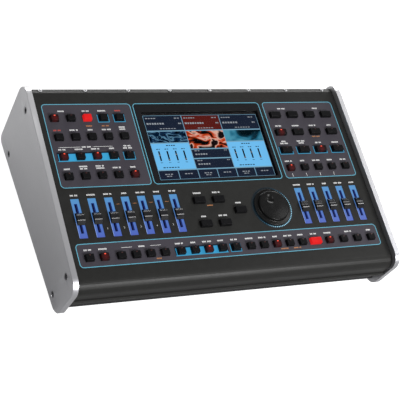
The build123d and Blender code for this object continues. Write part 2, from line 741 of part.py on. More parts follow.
def power_inlet():
    """Mains inlet and rocker well in one moulded housing."""
    housing = plate(INLET_PLATE[0], INLET_PLATE[2], 0, INLET_PLATE[1])
    housing = fillet(housing.edges().filter_by(Axis.Z), INLET_CORNER_R)
    housing += plate(INLET_BODY[0], INLET_BODY[2], -INLET_BODY[1], 0)
    mouth = plate(INLET_MOUTH[0], INLET_MOUTH[2], INLET_PLATE[1] - INLET_MOUTH[1], INLET_PLATE[1] + OVER)
    well = plate(ROCKER_WELL[0], ROCKER_WELL[2], INLET_PLATE[1] - ROCKER_WELL[1], INLET_PLATE[1] + OVER)
    housing -= Pos(INLET_MOUTH_DX, 0, 0) * mouth
    housing -= Pos(ROCKER_DX, 0, 0) * well
    return to_rear(INLET_X, INLET_Z, housing)


def rocker_pivot():
    """Desk place of the rocker's pivot."""
    return (INLET_X + ROCKER_DX, REAR_Y + INLET_PLATE[1] - ROCKER_PIVOT, INLET_Z)


def power_rocker():
    """Rocker with a shallow vee face, tilted to its off side."""
    half = ROCKER[1] / 2
    outline = (
        (ROCKER_PIVOT - ROCKER_DIP, 0),
        (ROCKER_PIVOT + ROCKER_HORN, half),
        (0, half),
        (-ROCKER_HUB_R, ROCKER_HUB_R),
        (-ROCKER_HUB_R, -ROCKER_HUB_R),
        (0, -half),
        (ROCKER_PIVOT + ROCKER_HORN, -half),
    )
    rocker = extrude(make_face(Plane.YZ * Polyline(*outline, close=True)), ROCKER[0] / 2, both=True)
    rocker = fillet(rocker.edges().filter_by(Axis.X).sort_by(Axis.Y)[-2:], ROCKER_EDGE_R)
    return Pos(*rocker_pivot()) * Rot(-ROCKER_SWING / 2, 0, 0) * rocker


def key(width):
    """Key with a tapered cap, a rim under the panel and a stem to its switch."""
    cap = extrude(Rectangle(width, KEY_LENGTH), KEY_RISE, taper=KEY_TAPER)
    cap = fillet(cap.faces().sort_by(Axis.Z)[-1].edges(), KEY_EDGE_R)
    body = plate(width, KEY_LENGTH, KEY_FLANGE_N, 0)
    rim = plate(
        width + 2 * KEY_FLANGE,
        KEY_LENGTH + 2 * KEY_FLANGE,
        KEY_FLANGE_N - KEY_FLANGE_T,
        KEY_FLANGE_N,
    )
    stem_end = BOARD_TOP + SWITCH[2] + KEY_TRAVEL + FIT
    return cap + body + rim + disc(KEY_STEM_R, stem_end, KEY_FLANGE_N - KEY_FLANGE_T)


def key_switches():
    """One push switch on the control board under every key."""
    switch = plate(SWITCH[0], SWITCH[1], BOARD_TOP, BOARD_TOP + SWITCH[2])
    places = [place for _, run in key_banks().values() for place in run]
    return [at(x, s, switch) for x, s in places]


def fader_cap():
    """Dished fader cap between two ridges, with a pocket for the lever."""
    half = CAP[1] / 2
    left = Polyline((0, CAP_FOOT), (-half, CAP_FOOT), (-half, CAP_EDGE), (-CAP_RIDGE_S, CAP_RIDGE))
    right = Polyline((CAP_RIDGE_S, CAP_RIDGE), (half, CAP_EDGE), (half, CAP_FOOT), (0, CAP_FOOT))
    dish = ThreePointArc((-CAP_RIDGE_S, CAP_RIDGE), (0, CAP_DISH), (CAP_RIDGE_S, CAP_RIDGE))
    cap = extrude(make_face(Plane.YZ * (left + dish + right)), CAP[0] / 2, both=True)
    for end in (0, -1):
        cap = chamfer(cap.faces().sort_by(Axis.X)[end].edges().sort_by(Axis.Z)[-3:], CAP_SIDE_EDGE)
    return cap - plate(*LEVER, CAP_FOOT - OVER, CAP_FOOT + CAP_POCKET)


def fader_lever():
    """Metal lever with the shoe that slides in the housing."""
    shoe_top = BOARD_TOP + HOUSING[2] - HOUSING_WALL - SHOE_CLEAR
    shoe = plate(SHOE[0], SHOE[1], shoe_top - SHOE[2], shoe_top)
    return plate(*LEVER, shoe_top, CAP_FOOT + CAP_POCKET) + shoe


def fader_housings():
    """Slide control bodies on the control board, each with a track for its shoe."""
    body = plate(HOUSING[0], HOUSING[1], BOARD_TOP, BOARD_TOP + HOUSING[2])
    track = FADER_TRAVEL + SHOE[1] + 2 * LEVER_END
    low = BOARD_TOP + HOUSING_WALL
    body -= plate(SHOE[0] + 2 * SHOE_CLEAR, track, low, BOARD_TOP + HOUSING[2] - HOUSING_WALL)
    slot = FADER_TRAVEL + LEVER[1] + 2 * LEVER_END
    body -= plate(LEVER[0] + 2 * SHOE_CLEAR, slot, low, BOARD_TOP + HOUSING[2] + OVER)
    left, right = fader_columns()
    return [at(x, FADER_S, body) for x in left + right]


def dial_knob():
    """Stepped data dial with a finger dimple."""
    rim_r = DIAL_TOP_R - DIAL_RIM_IN
    rim_up = DIAL_EDGE + DIAL_RIM_RISE
    outline = Polyline(
        (0, DIAL_FOOT),
        (DIAL_SKIRT_R, DIAL_FOOT),
        (DIAL_SKIRT_R, DIAL_SKIRT),
        (DIAL_TOP_R + DIAL_STEP_OUT, DIAL_SKIRT + DIAL_STEP_RISE),
        (DIAL_TOP_R + DIAL_DRAFT, DIAL_EDGE),
        (rim_r, rim_up),
    )
    crown = ThreePointArc(
        (rim_r, rim_up),
        (rim_r / 2, rim_up / 4 + DIAL_CROWN * 3 / 4),
        (0, DIAL_CROWN),
    )
    axis = Line((0, DIAL_CROWN), (0, DIAL_FOOT))
    knob = revolve(make_face(Plane.XZ * (outline + crown + axis)), Axis.Z)
    ball_r = (DIMPLE_R**2 + DIMPLE_DEPTH**2) / (2 * DIMPLE_DEPTH)
    turn = radians(DIMPLE_ANGLE)
    knob -= Pos(
        DIMPLE_OUT * cos(turn),
        DIMPLE_OUT * sin(turn),
        DIAL_CROWN - DIMPLE_DEPTH + ball_r,
    ) * Sphere(ball_r)
    return knob - disc(SHAFT_R, 0, SHAFT_TOP)


def dial_encoder():
    """Encoder body on the control board, with the bushing that the shaft turns in."""
    low = BOARD_TOP
    body = plate(ENCODER[0], ENCODER[1], low, low + ENCODER[2])
    body += disc(BUSHING_R, low + ENCODER[2], 0)
    return body - disc(SHAFT_R + SHAFT_FIT, low + ENCODER_FLOOR, OVER)


def dial_light_ring():
    """Clear ring round the dial, set into the panel."""
    ring = disc(RING_R, RING_TOP - RING_T, RING_TOP)
    ring += disc(RING_R + GUIDE_FLANGE, -PANEL_T - GUIDE_FLANGE_T, -PANEL_T)
    return ring - disc(RING_BORE_R, -2 * PANEL_T, OVER)


def board_standoffs():
    """Posts under the top panel and on the tray's floor."""
    post = disc(POST_R, BOARD_TOP, -PANEL_T)
    posts = [at(x, s, post) for x in POST_COLUMNS for s in POST_ROWS]
    posts += [at(x, s, post) for x in INNER_POSTS for s in POST_ROWS[1:]]
    rear = MAIN_REAR_Y - MAIN_POST_BACK
    front = MAIN_REAR_Y - MAIN_DEPTH + MAIN_POST_INSET
    columns = [MAIN_SPAN[0] + MAIN_POST_INSET, sum(MAIN_SPAN) / 2, MAIN_SPAN[1] - MAIN_POST_INSET]
    tall = disc(MAIN_POST_R, FLOOR_Z, FLOOR_Z + MAIN_LIFT)
    return posts + [Pos(x, y, 0) * tall for x in columns for y in (front, rear)]


def main_board():
    """Main board on its posts, behind the sockets."""
    width = MAIN_SPAN[1] - MAIN_SPAN[0]
    y = MAIN_REAR_Y - MAIN_DEPTH / 2
    return Pos(sum(MAIN_SPAN) / 2, y, MAIN_TOP - BOARD_T / 2) * Box(width, MAIN_DEPTH, BOARD_T)


def control_board():
    """Board that carries the switches, the slide controls and the encoder."""
    length = BOARD_SPAN[1] - BOARD_SPAN[0]
    board = plate(2 * BOARD_EDGE_X, length, BOARD_TOP - BOARD_T, BOARD_TOP)
    return at(0, sum(BOARD_SPAN) / 2, board)


def power_supply():
    """Closed supply unit on the tray's floor."""
    y = REAR_Y - FOOT_INSET_Y - FOOT_STUB_R - SUPPLY_GAP - SUPPLY[1] / 2
    body = Pos(SUPPLY_X, y, FLOOR_Z + SUPPLY[2] / 2) * Box(*SUPPLY)
    return fillet(body.edges().filter_by(Axis.Z), SUPPLY_EDGE_R)


def display_stack():
    """Glass, display module and the tray-shaped bracket behind them."""
    width, length = DISPLAY_WINDOW
    glass = plate(width + 2 * GLASS_MARGIN, length + 2 * GLASS_MARGIN, -PANEL_T - GLASS_T, -PANEL_T)
    top = -PANEL_T - GLASS_T - MODULE_GAP
    module_width = width + 2 * MODULE_MARGIN
    module_length = length + 2 * MODULE_MARGIN
    module = plate(module_width, module_length, top - MODULE_T, top)
    bracket = plate(
        module_width + 2 * BRACKET_T,
        module_length + 2 * BRACKET_T,
        top - MODULE_T - BRACKET_T,
        top - MODULE_T + BRACKET_RIM,
    )
    bracket -= plate(module_width, module_length, top - MODULE_T, top)
    return [at(DISPLAY_X, DISPLAY_S, piece) for piece in (glass, module, bracket)]


def write_parts():
    """Write every node."""
    os.makedirs("parts", exist_ok=True)
    save("top_panel", top_panel())
    save("bottom_tray", bottom_tray())
    save("left_cheek", cheek(-1))
    save("right_cheek", cheek(1))
    save("rear_panel", rear_panel())
    glass, module, bracket = display_stack()
    save("touch_glass", glass)
    save("display_module", module)
    save("display_bracket", bracket)
    save("control_board", control_board())
    save("key_switches", *key_switches())
    save("fader_housings", *fader_housings())
    save("fader_windows", *fader_windows())
    save("key_light_guides", *key_light_guides())
    save("dial_encoder", at(DIAL_X, DIAL_S, dial_encoder()))
    save("dial_light_ring", at(DIAL_X, DIAL_S, dial_light_ring()))
    save("dial_knob", at(DIAL_X, DIAL_S, dial_knob()))
    save("dial_shaft", at(DIAL_X, DIAL_S, disc(SHAFT_R, BOARD_TOP + SHAFT_END, SHAFT_TOP)))
    save("main_board", main_board())
    save("board_standoffs", *board_standoffs())
    save("power_supply", power_supply())
    save("power_inlet", power_inlet())
    save("power_rocker", power_rocker())
    save("audio_sockets", *audio_sockets())
    save("midi_sockets", *midi_sockets())
    save("data_sockets", *data_sockets())
    save("rubber_feet", *rubber_feet())
    save("cheek_screws", *cheek_screws())
    save("rear_screws", *rear_screws())
    left, right = fader_columns()
    for side, columns in (("left", left), ("right", right)):
        for number, x in enumerate(columns, start=1):
            pieces = [at(x, FADER_S + FADER_REST, piece) for piece in (fader_cap(), fader_lever())]
            save(f"{side}_fader_{number}", *pieces)
    models = {SMALL_KEY: key(SMALL_KEY), WIDE_KEY: key(WIDE_KEY)}
    for node, (width, places) in key_banks().items():
        save(node, *[at(x, s, models[width]) for x, s in places])


write_parts()
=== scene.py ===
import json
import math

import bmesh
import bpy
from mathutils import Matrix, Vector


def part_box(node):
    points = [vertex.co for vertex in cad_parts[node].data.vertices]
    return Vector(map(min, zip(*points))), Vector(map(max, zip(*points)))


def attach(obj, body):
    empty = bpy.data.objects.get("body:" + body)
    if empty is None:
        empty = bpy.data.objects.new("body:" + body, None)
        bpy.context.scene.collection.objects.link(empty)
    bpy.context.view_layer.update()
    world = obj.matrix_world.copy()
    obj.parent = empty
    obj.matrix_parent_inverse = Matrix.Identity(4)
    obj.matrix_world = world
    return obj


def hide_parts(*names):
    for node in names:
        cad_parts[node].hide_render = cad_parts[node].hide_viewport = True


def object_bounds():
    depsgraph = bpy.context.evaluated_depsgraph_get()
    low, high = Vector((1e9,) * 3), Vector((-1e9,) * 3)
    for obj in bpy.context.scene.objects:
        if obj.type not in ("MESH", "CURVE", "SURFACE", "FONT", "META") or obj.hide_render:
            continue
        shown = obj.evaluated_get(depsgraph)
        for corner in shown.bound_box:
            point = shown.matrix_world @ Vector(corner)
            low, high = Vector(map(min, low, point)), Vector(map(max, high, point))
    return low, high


bl_info = {
    "name": "Control desk looks",
    "version": (1, 0, 0),
    "blender": (4, 5, 0),
    "location": "View3D > Sidebar > Control desk",
    "description": "Finishes, controls and display page of a desktop control desk, round its CAD frame",
    "category": "Object",
}

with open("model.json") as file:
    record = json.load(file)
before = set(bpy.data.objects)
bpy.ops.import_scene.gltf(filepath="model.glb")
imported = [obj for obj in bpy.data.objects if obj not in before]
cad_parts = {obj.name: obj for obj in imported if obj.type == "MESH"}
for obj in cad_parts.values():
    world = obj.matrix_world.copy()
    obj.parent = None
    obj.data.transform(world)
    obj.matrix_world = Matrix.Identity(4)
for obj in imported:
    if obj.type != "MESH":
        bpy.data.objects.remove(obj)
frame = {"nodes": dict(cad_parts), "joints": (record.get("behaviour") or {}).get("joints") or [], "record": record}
CAD_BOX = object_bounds()

MM = 0.001
JOINTS = {joint["name"]: joint for joint in frame["joints"]}

# Places on the control panel, in millimetres: x to the right, s up the slope, n out of the panel.
DIAL = (60.1, 58.2)
COLUMN = 184.2
COLUMN_PITCH = 20.0
ROW_BASE = 109.7
ROW_PITCH = 24.85
STRIP_S = 11.0
STRIP_PITCH = 17.5
STRIP_GROUPS = (2, 4, 5, 5)
SMALL_KEY = 9.8
WIDE_KEY = 14.8
WIDE_PITCH = 25.0
MENU_X = -33.4
MENU_ROWS = (42.4, 72.4)
ENTER_S = 57.4
FADER_S = 58.5
FADER_REST = -1.5
WINDOW = (9.8, 47.8)
WINDOW_TOP = -0.5
GUIDE_TOP = -0.3
GUIDE_MARGIN = (2.3, 1.7)
RING_TOP = 0.3
TICK_CIRCLE = 25.5
DIAL_FOOT = (24.0, 0.9)                 # radius and height of the dial's lower edge
DIAL_PROFILE = ((24.0, 2.1), (19.7, 2.6), (19.2, 5.9), (18.2, 6.5), (13.7, 6.8), (9.1, 7.03), (4.5, 7.16))
DIMPLE = (9.35, 119.0, 10.12, 5.0)      # distance from the axis, angle, ball's radius and lowest height
KEY_RISE = 4.0
KEY_LENGTH = 8.0
KEY_RIM = (1.0, -4.5, -3.5)             # width of the rim under the panel, and its heights
KEY_DRAFT = 5.0                         # slope of a key's sides, in degrees
KEY_BORDER = 1.1                        # flat border round the dish
STEM = (1.6, -6.9, -4.4)                # radius, foot and top
LAMP_LENGTH = 1.1
LAMP_RISE = 2.2                         # from a key's middle to its lamp
CAP = (8.8, 14.4, 0.7, 5.2)             # width, length, foot and ridge of a fader cap
CAP_RIDGE = 3.5
CAP_SLOPE = (3.5, 3.7)                  # rise and run of its end slopes
CAP_DISH = (6.6, 4.2)                   # radius and lowest height of its dish
LEVER = (1.2, 4.0, -8.6, 1.2)           # width, length, foot and top
SHOE = (5.0, 8.0, -9.5, -7.1)           # the same for the foot that it slides on
JACKS = tuple(178.0 - 22.0 * index for index in range(6))
ROUND_SOCKETS = (42.0, 17.0)
DATA_TONGUES = ((-12.0, 11.0), (-40.0, 10.0), (-64.0, 6.0))
INLET_PINS = ((-175.0, 31.5), (-161.0, 31.5), (-168.0, 34.5))
NUT = (6.9, 1.6, 4.65)                  # radius over its corners, height and radius of its hole
CONTACT_CIRCLE = 3.9
REAR_MARK = 1.1
JACK_Z = 26.3
ROUND_Z = 28.8
DATA_Z = 22.4
PAGE = (-72.2, 102.6, 154.2, 85.9)      # the lit page: its low corner, width and length
WORD_STEP = 0.022                       # share of the page's width that one word of text takes
WORD_FILLS = (0.8, 0.55, 0.7)           # how much of it the bar fills, in turn
PAGE_COLUMNS = (0.327, 0.658)           # shares of the width where the page's columns meet
PAGE_N = -3.38
PRINT_T = 0.05
FIELD_CORNER = 4.7
FIELD_EDGE = 0.15                       # soft edges of the printed fields and of the lit bands
BAND_EDGE = 0.2
EDGE_T = 0.12                           # thickness of a guide's bright edge
RIM_LIGHT = (0.4, 18.0, 14.0)           # width, length and drop below the middle of a window's bright edge
SLOT_LIP = (1.0, 35.6, 1.27)            # width, length and distance from the slot's middle
SLOT_LIP_N = (-1.7, -1.3)

# Outlines printed round the groups of controls: centre x, centre s, width, length
OUTLINES = {
    "left": (-141.0, 149.55, 110.2, 107.7),
    "display": (2.8, 149.55, 172.0, 107.7),
    "right": (145.3, 149.55, 103.4, 107.7),
    "strip": (0.0, 14.1, 393.8, 28.2),
}

NORMAL = Vector(JOINTS["dial_turn"]["axis"])
RIGHT = Vector((1.0, 0.0, 0.0))
UPHILL = NORMAL.cross(RIGHT)
DIAL_CENTRE = Vector(JOINTS["dial_turn"]["pos_m"])
ORIGIN = DIAL_CENTRE - (RIGHT * DIAL[0] + UPHILL * DIAL[1]) * MM
SCALE = Matrix.Scale(MM, 4)
PANEL = Matrix.Translation(ORIGIN) @ Matrix((RIGHT, UPHILL, NORMAL)).transposed().to_4x4() @ SCALE
REAR_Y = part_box("rear_panel")[1].y
# The rear panel, seen from behind: x to the viewer's right, which is the desk's -X, y up and z out.
REAR = Matrix.Translation((0, REAR_Y, 0)) @ Matrix(((-1, 0, 0), (0, 0, 1), (0, 1, 0))).to_4x4() @ SCALE


# ---------------------------------------------------------------- layout


def key_row(first, pitch, count, s):
    """Places of one row of keys."""
    return [(first + pitch * index, s) for index in range(count)]


def side_row(side, row):
    """Small keys beside the display: side -1 is left and 1 is right, row 0 is the lowest."""
    first = -COLUMN if side < 0 else COLUMN - 4 * COLUMN_PITCH
    return key_row(first, COLUMN_PITCH, 5, ROW_BASE + ROW_PITCH * row)


def wide_row(row):
    """Wide keys to the right of the display."""
    last = COLUMN + (SMALL_KEY - WIDE_KEY) / 2
    return key_row(last - 3 * WIDE_PITCH, WIDE_PITCH, 4, ROW_BASE + ROW_PITCH * row)


def strip_rows():
    """Groups of keys along the front strip, from the left."""
    groups = []
    x = -COLUMN
    for count in STRIP_GROUPS:
        groups.append(key_row(x, STRIP_PITCH, count, STRIP_S))
        x += STRIP_PITCH * (count - 1) + COLUMN_PITCH
    return groups


def key_banks():
    """Every bank of keys: key width and places."""
    pace, intro, variation, breaks = strip_rows()
    top_left = side_row(-1, 3)
    low_right = side_row(1, 0)
    return {
        "player_keys": (SMALL_KEY, top_left[:2]),
        "record_key": (SMALL_KEY, top_left[2:3]),
        "effect_keys": (SMALL_KEY, top_left[3:]),
        "search_keys": (SMALL_KEY, side_row(-1, 2)),
        "bass_keys": (SMALL_KEY, side_row(-1, 1)),
        "sound_keys": (SMALL_KEY, side_row(-1, 0)),
        "shift_keys": (WIDE_KEY, wide_row(3)),
        "touch_keys": (WIDE_KEY, wide_row(2)),
        "register_keys": (WIDE_KEY, wide_row(1)),
        "voice_keys": (SMALL_KEY, low_right),
        "exit_key": (WIDE_KEY, [(MENU_X, MENU_ROWS[1])]),
        "save_key": (WIDE_KEY, [(MENU_X + WIDE_PITCH, MENU_ROWS[1])]),
        "media_key": (WIDE_KEY, [(MENU_X, MENU_ROWS[0])]),
        "menu_key": (WIDE_KEY, [(MENU_X + WIDE_PITCH, MENU_ROWS[0])]),
        "enter_key": (WIDE_KEY, [(MENU_X + 2 * WIDE_PITCH, ENTER_S)]),
        "intro_keys": (SMALL_KEY, pace + intro),
        "variation_keys": (SMALL_KEY, variation),
        "break_keys": (SMALL_KEY, breaks),
        "start_key": (WIDE_KEY, [(low_right[0][0], STRIP_S)]),
        "tempo_keys": (SMALL_KEY, [(x, STRIP_S) for x, _ in low_right[1:]]),
    }


def fader_columns():
    """The x of every fader by its body's name."""
    columns = {f"left_fader_{i + 1}": COLUMN_PITCH * i - COLUMN for i in range(7)}
    columns.update({f"right_fader_{i + 1}": COLUMN - COLUMN_PITCH * (4 - i) for i in range(5)})
    return columns


BANKS = key_banks()
FADERS = fader_columns()
RED_KEYS = ("record_key", "start_key")
# Keys whose lamp is lit, by bank and by position in it
LIT_LAMPS = {
    "player_keys": (0,), "bass_keys": (0, 2), "sound_keys": (4,), "touch_keys": (0,), "register_keys": (2,),
    "voice_keys": (0,), "intro_keys": (1,), "variation_keys": (2,), "break_keys": (2,), "tempo_keys": (0,),
}
SINGLE_GUIDES = [(SMALL_KEY, place) for place in BANKS["effect_keys"][1]]
SINGLE_GUIDES += [(SMALL_KEY, BANKS["bass_keys"][1][4]), (SMALL_KEY, BANKS["variation_keys"][1][4])]
SINGLE_GUIDES += [(WIDE_KEY, place) for place in BANKS["register_keys"][1]]
BAND_GUIDES = (BANKS["bass_keys"][1][:4], BANKS["variation_keys"][1][:4])

# Printed marks: each caption is a row of blocks in one of these word patterns
WORDS = ((6,), (3, 3), (8,), (5, 2), (5,), (4, 4))
BLOCK = 0.9
BLOCK_PITCH = 1.26
LABEL_RISE = 9.6                        # from a key's middle to its caption
SECOND_RISE = 12.4                      # and to a caption's upper line
# Pairs of keys that share one caption, keys whose caption is red, and keys with a second line
PAIRS = {("player_keys", 0), ("shift_keys", 0), ("shift_keys", 2), ("tempo_keys", 1)}
RED_LABELS = (("effect_keys", 1), ("search_keys", 0))
TWO_LINES = (
    ("search_keys", 4), ("bass_keys", 4), ("sound_keys", 1), ("sound_keys", 2), ("register_keys", 0),
    ("register_keys", 1),
)


def over_key(bank, index, up=LABEL_RISE):
    """Place of a caption over one key."""
    x, s = BANKS[bank][1][index]
    return x, s + up


def middle(bank, first, second, up):
    """Place over the middle between two keys of a bank."""
    keys = BANKS[bank][1]
    return (keys[first][0] + keys[second][0]) / 2, keys[first][1] + up


def label_places():
    """Where white captions stand."""
    places = [over_key(*label, SECOND_RISE) for label in TWO_LINES]
    for bank, (_, keys) in BANKS.items():
        for index in range(len(keys)):
            if (bank, index) in PAIRS:
                places.append(middle(bank, index, index + 1, LABEL_RISE))
            elif (bank, index - 1) not in PAIRS and (bank, index) not in RED_LABELS:
                if bank != "intro_keys" or index < 2:
                    places.append(over_key(bank, index))
    places += [middle("bass_keys", 1, 2, SECOND_RISE), middle("intro_keys", 3, 4, LABEL_RISE)]
    return places + [(x, FADER_S + 28.0) for x in FADERS.values()]


def amber_places():
    """Where amber captions stand."""
    over = [over_key("search_keys", index, 14.6) for index in (2, 3)]
    under = [("break_keys", 2, 3), ("break_keys", 3, 4), ("intro_keys", 4, 5), ("touch_keys", 2, 2)]
    return over + [middle(*label, -6.4) for label in under] + [(MENU_X + WIDE_PITCH / 2, MENU_ROWS[1] - 6.8)]


LABEL_LINES = [
    (*middle("bass_keys", 0, 1, SECOND_RISE), 26.0), (*middle("bass_keys", 2, 3, SECOND_RISE), 24.0),
    (*middle("intro_keys", 2, 3, LABEL_RISE), 13.0), (*middle("intro_keys", 4, 5, LABEL_RISE), 13.0),
]


# ---------------------------------------------------------------- materials


class Wire:
    """Output of a node, for use in plain arithmetic."""

    def __init__(self, finish, socket):
        self.finish = finish
        self.socket = socket

    def __add__(self, other):
        return self.finish.maths("ADD", self, other)

    def __radd__(self, other):
        return self.finish.maths("ADD", other, self)

    def __sub__(self, other):
        return self.finish.maths("SUBTRACT", self, other)

    def __rsub__(self, other):
        return self.finish.maths("SUBTRACT", other, self)

    def __mul__(self, other):
        return self.finish.maths("MULTIPLY", self, other)

    def __rmul__(self, other):
        return self.finish.maths("MULTIPLY", other, self)

    def __truediv__(self, other):
        return self.finish.maths("DIVIDE", self, other)

    def __pow__(self, other):
        return self.finish.maths("POWER", self, other)

    def __lt__(self, other):
        return self.finish.maths("LESS_THAN", self, other)

    def __gt__(self, other):
        return self.finish.maths("GREATER_THAN", self, other)

    def __abs__(self):
        return self.finish.maths("ABSOLUTE", self)


class Finish:
    """One material: its shader and the nodes that feed it."""

    def __init__(self, name, colour, roughness, metallic=0.0, **constants):
        self.material = bpy.data.materials.new(name)
        self.material.use_nodes = True
        self.tree = self.material.node_tree
        self.shader = self.tree.nodes["Principled BSDF"]
        self.material.diffuse_color = (*colour, 1.0)
        self.set("Base Color", colour)
        self.set("Roughness", roughness)
        self.set("Metallic", metallic)
        for socket, value in constants.items():
            self.set(socket.replace("_", " ").title().replace("Ior", "IOR"), value)

    def fill(self, socket, value):
        """Gives a socket a link, a number or a colour."""
        if isinstance(value, Wire):
            self.tree.links.new(value.socket, socket)
        elif socket.type == "RGBA" and len(value) == 3:
            socket.default_value = (*value, 1.0)
        else:
            socket.default_value = value

    def set(self, name, value):
        """Feeds one socket of the shader."""
        self.fill(self.shader.inputs[name], value)

    def node(self, kind, settings, inputs, output=0):
        """Adds any node: its settings first, a ramp's stops among them, and then its inputs."""
        made = self.tree.nodes.new("ShaderNode" + kind)
        for name, value in settings.items():
            if name == "stops":
                self.stops(made.color_ramp, value)
            else:
                setattr(made, name, value)
        for key, value in inputs.items():
            self.fill(made.inputs[key], value)
        return Wire(self, made.outputs[output])

    @staticmethod
    def stops(ramp, stops):
        """Places the colours of a ramp."""
        while len(ramp.elements) < len(stops):
            ramp.elements.new(0.5)
        for element, (place, colour) in zip(ramp.elements, stops):
            element.position = place
            element.color = (*colour, 1.0)

    def maths(self, operation, first, second=None):
        """A Math node."""
        values = {i: v for i, v in enumerate((first, second)) if v is not None}
        return self.node("Math", {"operation": operation}, values)

    def clamp(self, value):
        """Limits a value to 0 to 1."""
        return self.node("Clamp", {}, {"Value": value})

    def blend(self, factor, low, high):
        """Mixes two colours."""
        return self.node("Mix", {"data_type": "RGBA"}, {0: factor, 6: low, 7: high}, 2)

    def ramp(self, value, *stops):
        """A colour ramp over a value."""
        return self.node("ValToRGB", {"stops": stops}, {"Fac": value})

    def place(self):
        """Where a point of the surface is, in metres in the desk's frame."""
        return self.node("TexCoord", {}, {}, "Object")

    def along(self, direction, start=Vector()):
        """Distance in millimetres along a direction from a start point."""
        settings = {"operation": "DOT_PRODUCT"}
        inputs = {0: self.place(), 1: tuple(direction)}
        return (self.node("VectorMath", settings, inputs, "Value") - start.dot(direction)) * 1000.0

    def noise(self, scale, detail=3.0, roughness=0.5, stretch=None):
        """Even noise; scale counts its features in a metre."""
        place = self.place()
        if stretch:
            place = self.node("Mapping", {}, {"Vector": place, "Scale": stretch})
        inputs = {"Vector": place, "Scale": scale, "Detail": detail, "Roughness": roughness}
        return self.node("TexNoise", {}, inputs, 0)

    def bump(self, height, strength, distance=0.0001):
        """Raises the surface by a height map; distance is in metres."""
        inputs = {"Height": height, "Strength": strength, "Distance": distance}
        self.set("Normal", self.node("Bump", {}, inputs, "Normal"))

    def glow(self, colour, strength):
        """Lets the surface give light."""
        self.set("Emission Color", colour)
        self.set("Emission Strength", strength)


def rounded_mask(finish, x, s, outline, corner, edge):
    """1 inside a rounded rectangle of the panel and 0 outside it, over a soft edge."""
    centre_x, centre_s, width, length = outline
    across = finish.maths("MAXIMUM", abs(x - centre_x) - (width / 2 - corner), 0.0)
    up = finish.maths("MAXIMUM", abs(s - centre_s) - (length / 2 - corner), 0.0)
    reach = finish.maths("SQRT", across * across + up * up)
    return finish.clamp((corner - reach) / edge + 0.5)


def powder_coat(name, colour, roughness=0.42):
    """Fine satin powder coat: small even grain and a slow change of sheen."""
    coat = Finish(name, colour, roughness, specular_ior_level=0.13)
    slow = coat.noise(22.0, 2.0)
    coat.set("Roughness", slow * 0.14 + (roughness - 0.07))
    shade = tuple(channel * 1.35 + 0.002 for channel in colour)
    coat.set("Base Color", coat.blend(coat.noise(160.0, 4.0), colour, shade))
    coat.bump(coat.noise(2600.0, 2.0), 0.22, 0.00012)
    return coat


def panel_coat(colours):
    """The top panel's coat, with darker and lighter fields printed inside the outlines."""
    coat = powder_coat("panel_black", tuple(colours.panel), 0.4)
    x = coat.along(RIGHT, ORIGIN)
    s = coat.along(UPHILL, ORIGIN)
    n = coat.along(NORMAL, ORIGIN)
    on_top = n > -0.2
    base = coat.shader.inputs["Base Color"].links[0].from_socket
    tone = Wire(coat, base)
    field = tuple(colours.field)
    grain = coat.blend(coat.noise(900.0, 2.0), tuple(c * 0.85 for c in field), tuple(c * 1.15 for c in field))
    for name, outline in OUTLINES.items():
        mask = rounded_mask(coat, x, s, outline, FIELD_CORNER, FIELD_EDGE) * on_top
        tone = coat.blend(mask, tone, tuple(colours.display_field) if name == "display" else grain)
    coat.set("Base Color", tone)
    return coat


def anodised():
    """Bead-blasted silver anodising with faint rubbed marks, and painted shade darkening it towards the front."""
    metal = Finish("cheek_aluminium", (0.62, 0.62, 0.64), 0.36, 0.95)
    cloud = metal.noise(9.0, 3.0)
    fine = metal.noise(1400.0, 3.0)
    # Painted light and shade: the base colour runs from dark at the front to pale up the slope, standing in for
    # the fall of the light.
    height = metal.clamp(metal.along(UPHILL, ORIGIN) / 260.0 + 0.15)
    pale = metal.blend(cloud, (0.70, 0.70, 0.72), (0.86, 0.86, 0.88))
    metal.set("Base Color", metal.blend(height, (0.40, 0.40, 0.42), pale))
    rubbed = metal.clamp((metal.noise(60.0, 5.0, 0.6, (1.0, 0.12, 1.0)) - 0.56) * 6.0)
    metal.set("Roughness", fine * 0.1 + rubbed * 0.08 + 0.33)
    metal.bump(metal.noise(3600.0, 1.0), 0.18, 0.0001)
    return metal


def moulded(name, colour, roughness=0.34, grain=0.12, shine=0.05):
    """Moulded plastic with a fine eroded grain and slightly uneven sheen."""
    plastic = Finish(name, colour, roughness, specular_ior_level=shine)
    light = tuple(channel * 1.5 + 0.0015 for channel in colour)
    plastic.set("Base Color", plastic.blend(plastic.noise(240.0, 3.0), colour, light))
    plastic.set("Roughness", plastic.noise(90.0, 3.0) * 0.16 + (roughness - 0.08))
    plastic.bump(plastic.noise(3200.0, 2.0), grain, 0.00008)
    return plastic


def polished(name, colour, roughness=0.09):
    """Polished plastic under a clear coat, with faint finger smears."""
    gloss = Finish(name, colour, roughness, coat_weight=0.6, coat_roughness=0.04)
    smear = gloss.clamp((gloss.noise(55.0, 5.0, 0.65) - 0.5) * 2.4)
    gloss.set("Roughness", smear * 0.12 + roughness)
    gloss.set("Base Color", gloss.blend(smear, colour, tuple(c + 0.006 for c in colour)))
    gloss.bump(gloss.noise(420.0, 2.0), 0.03, 0.0001)
    return gloss


def brushed(name, colour, roughness=0.3, stretch=(1.0, 30.0, 1.0)):
    """Brushed or plated metal with long fine lines."""
    metal = Finish(name, colour, roughness, 1.0)
    lines = metal.noise(700.0, 3.0, 0.6, stretch)
    metal.set("Roughness", lines * 0.22 + (roughness - 0.1))
    dull = tuple(channel * 0.8 for channel in colour)
    metal.set("Base Color", metal.blend(metal.noise(45.0, 4.0), colour, dull))
    metal.bump(lines, 0.08, 0.00005)
    return metal


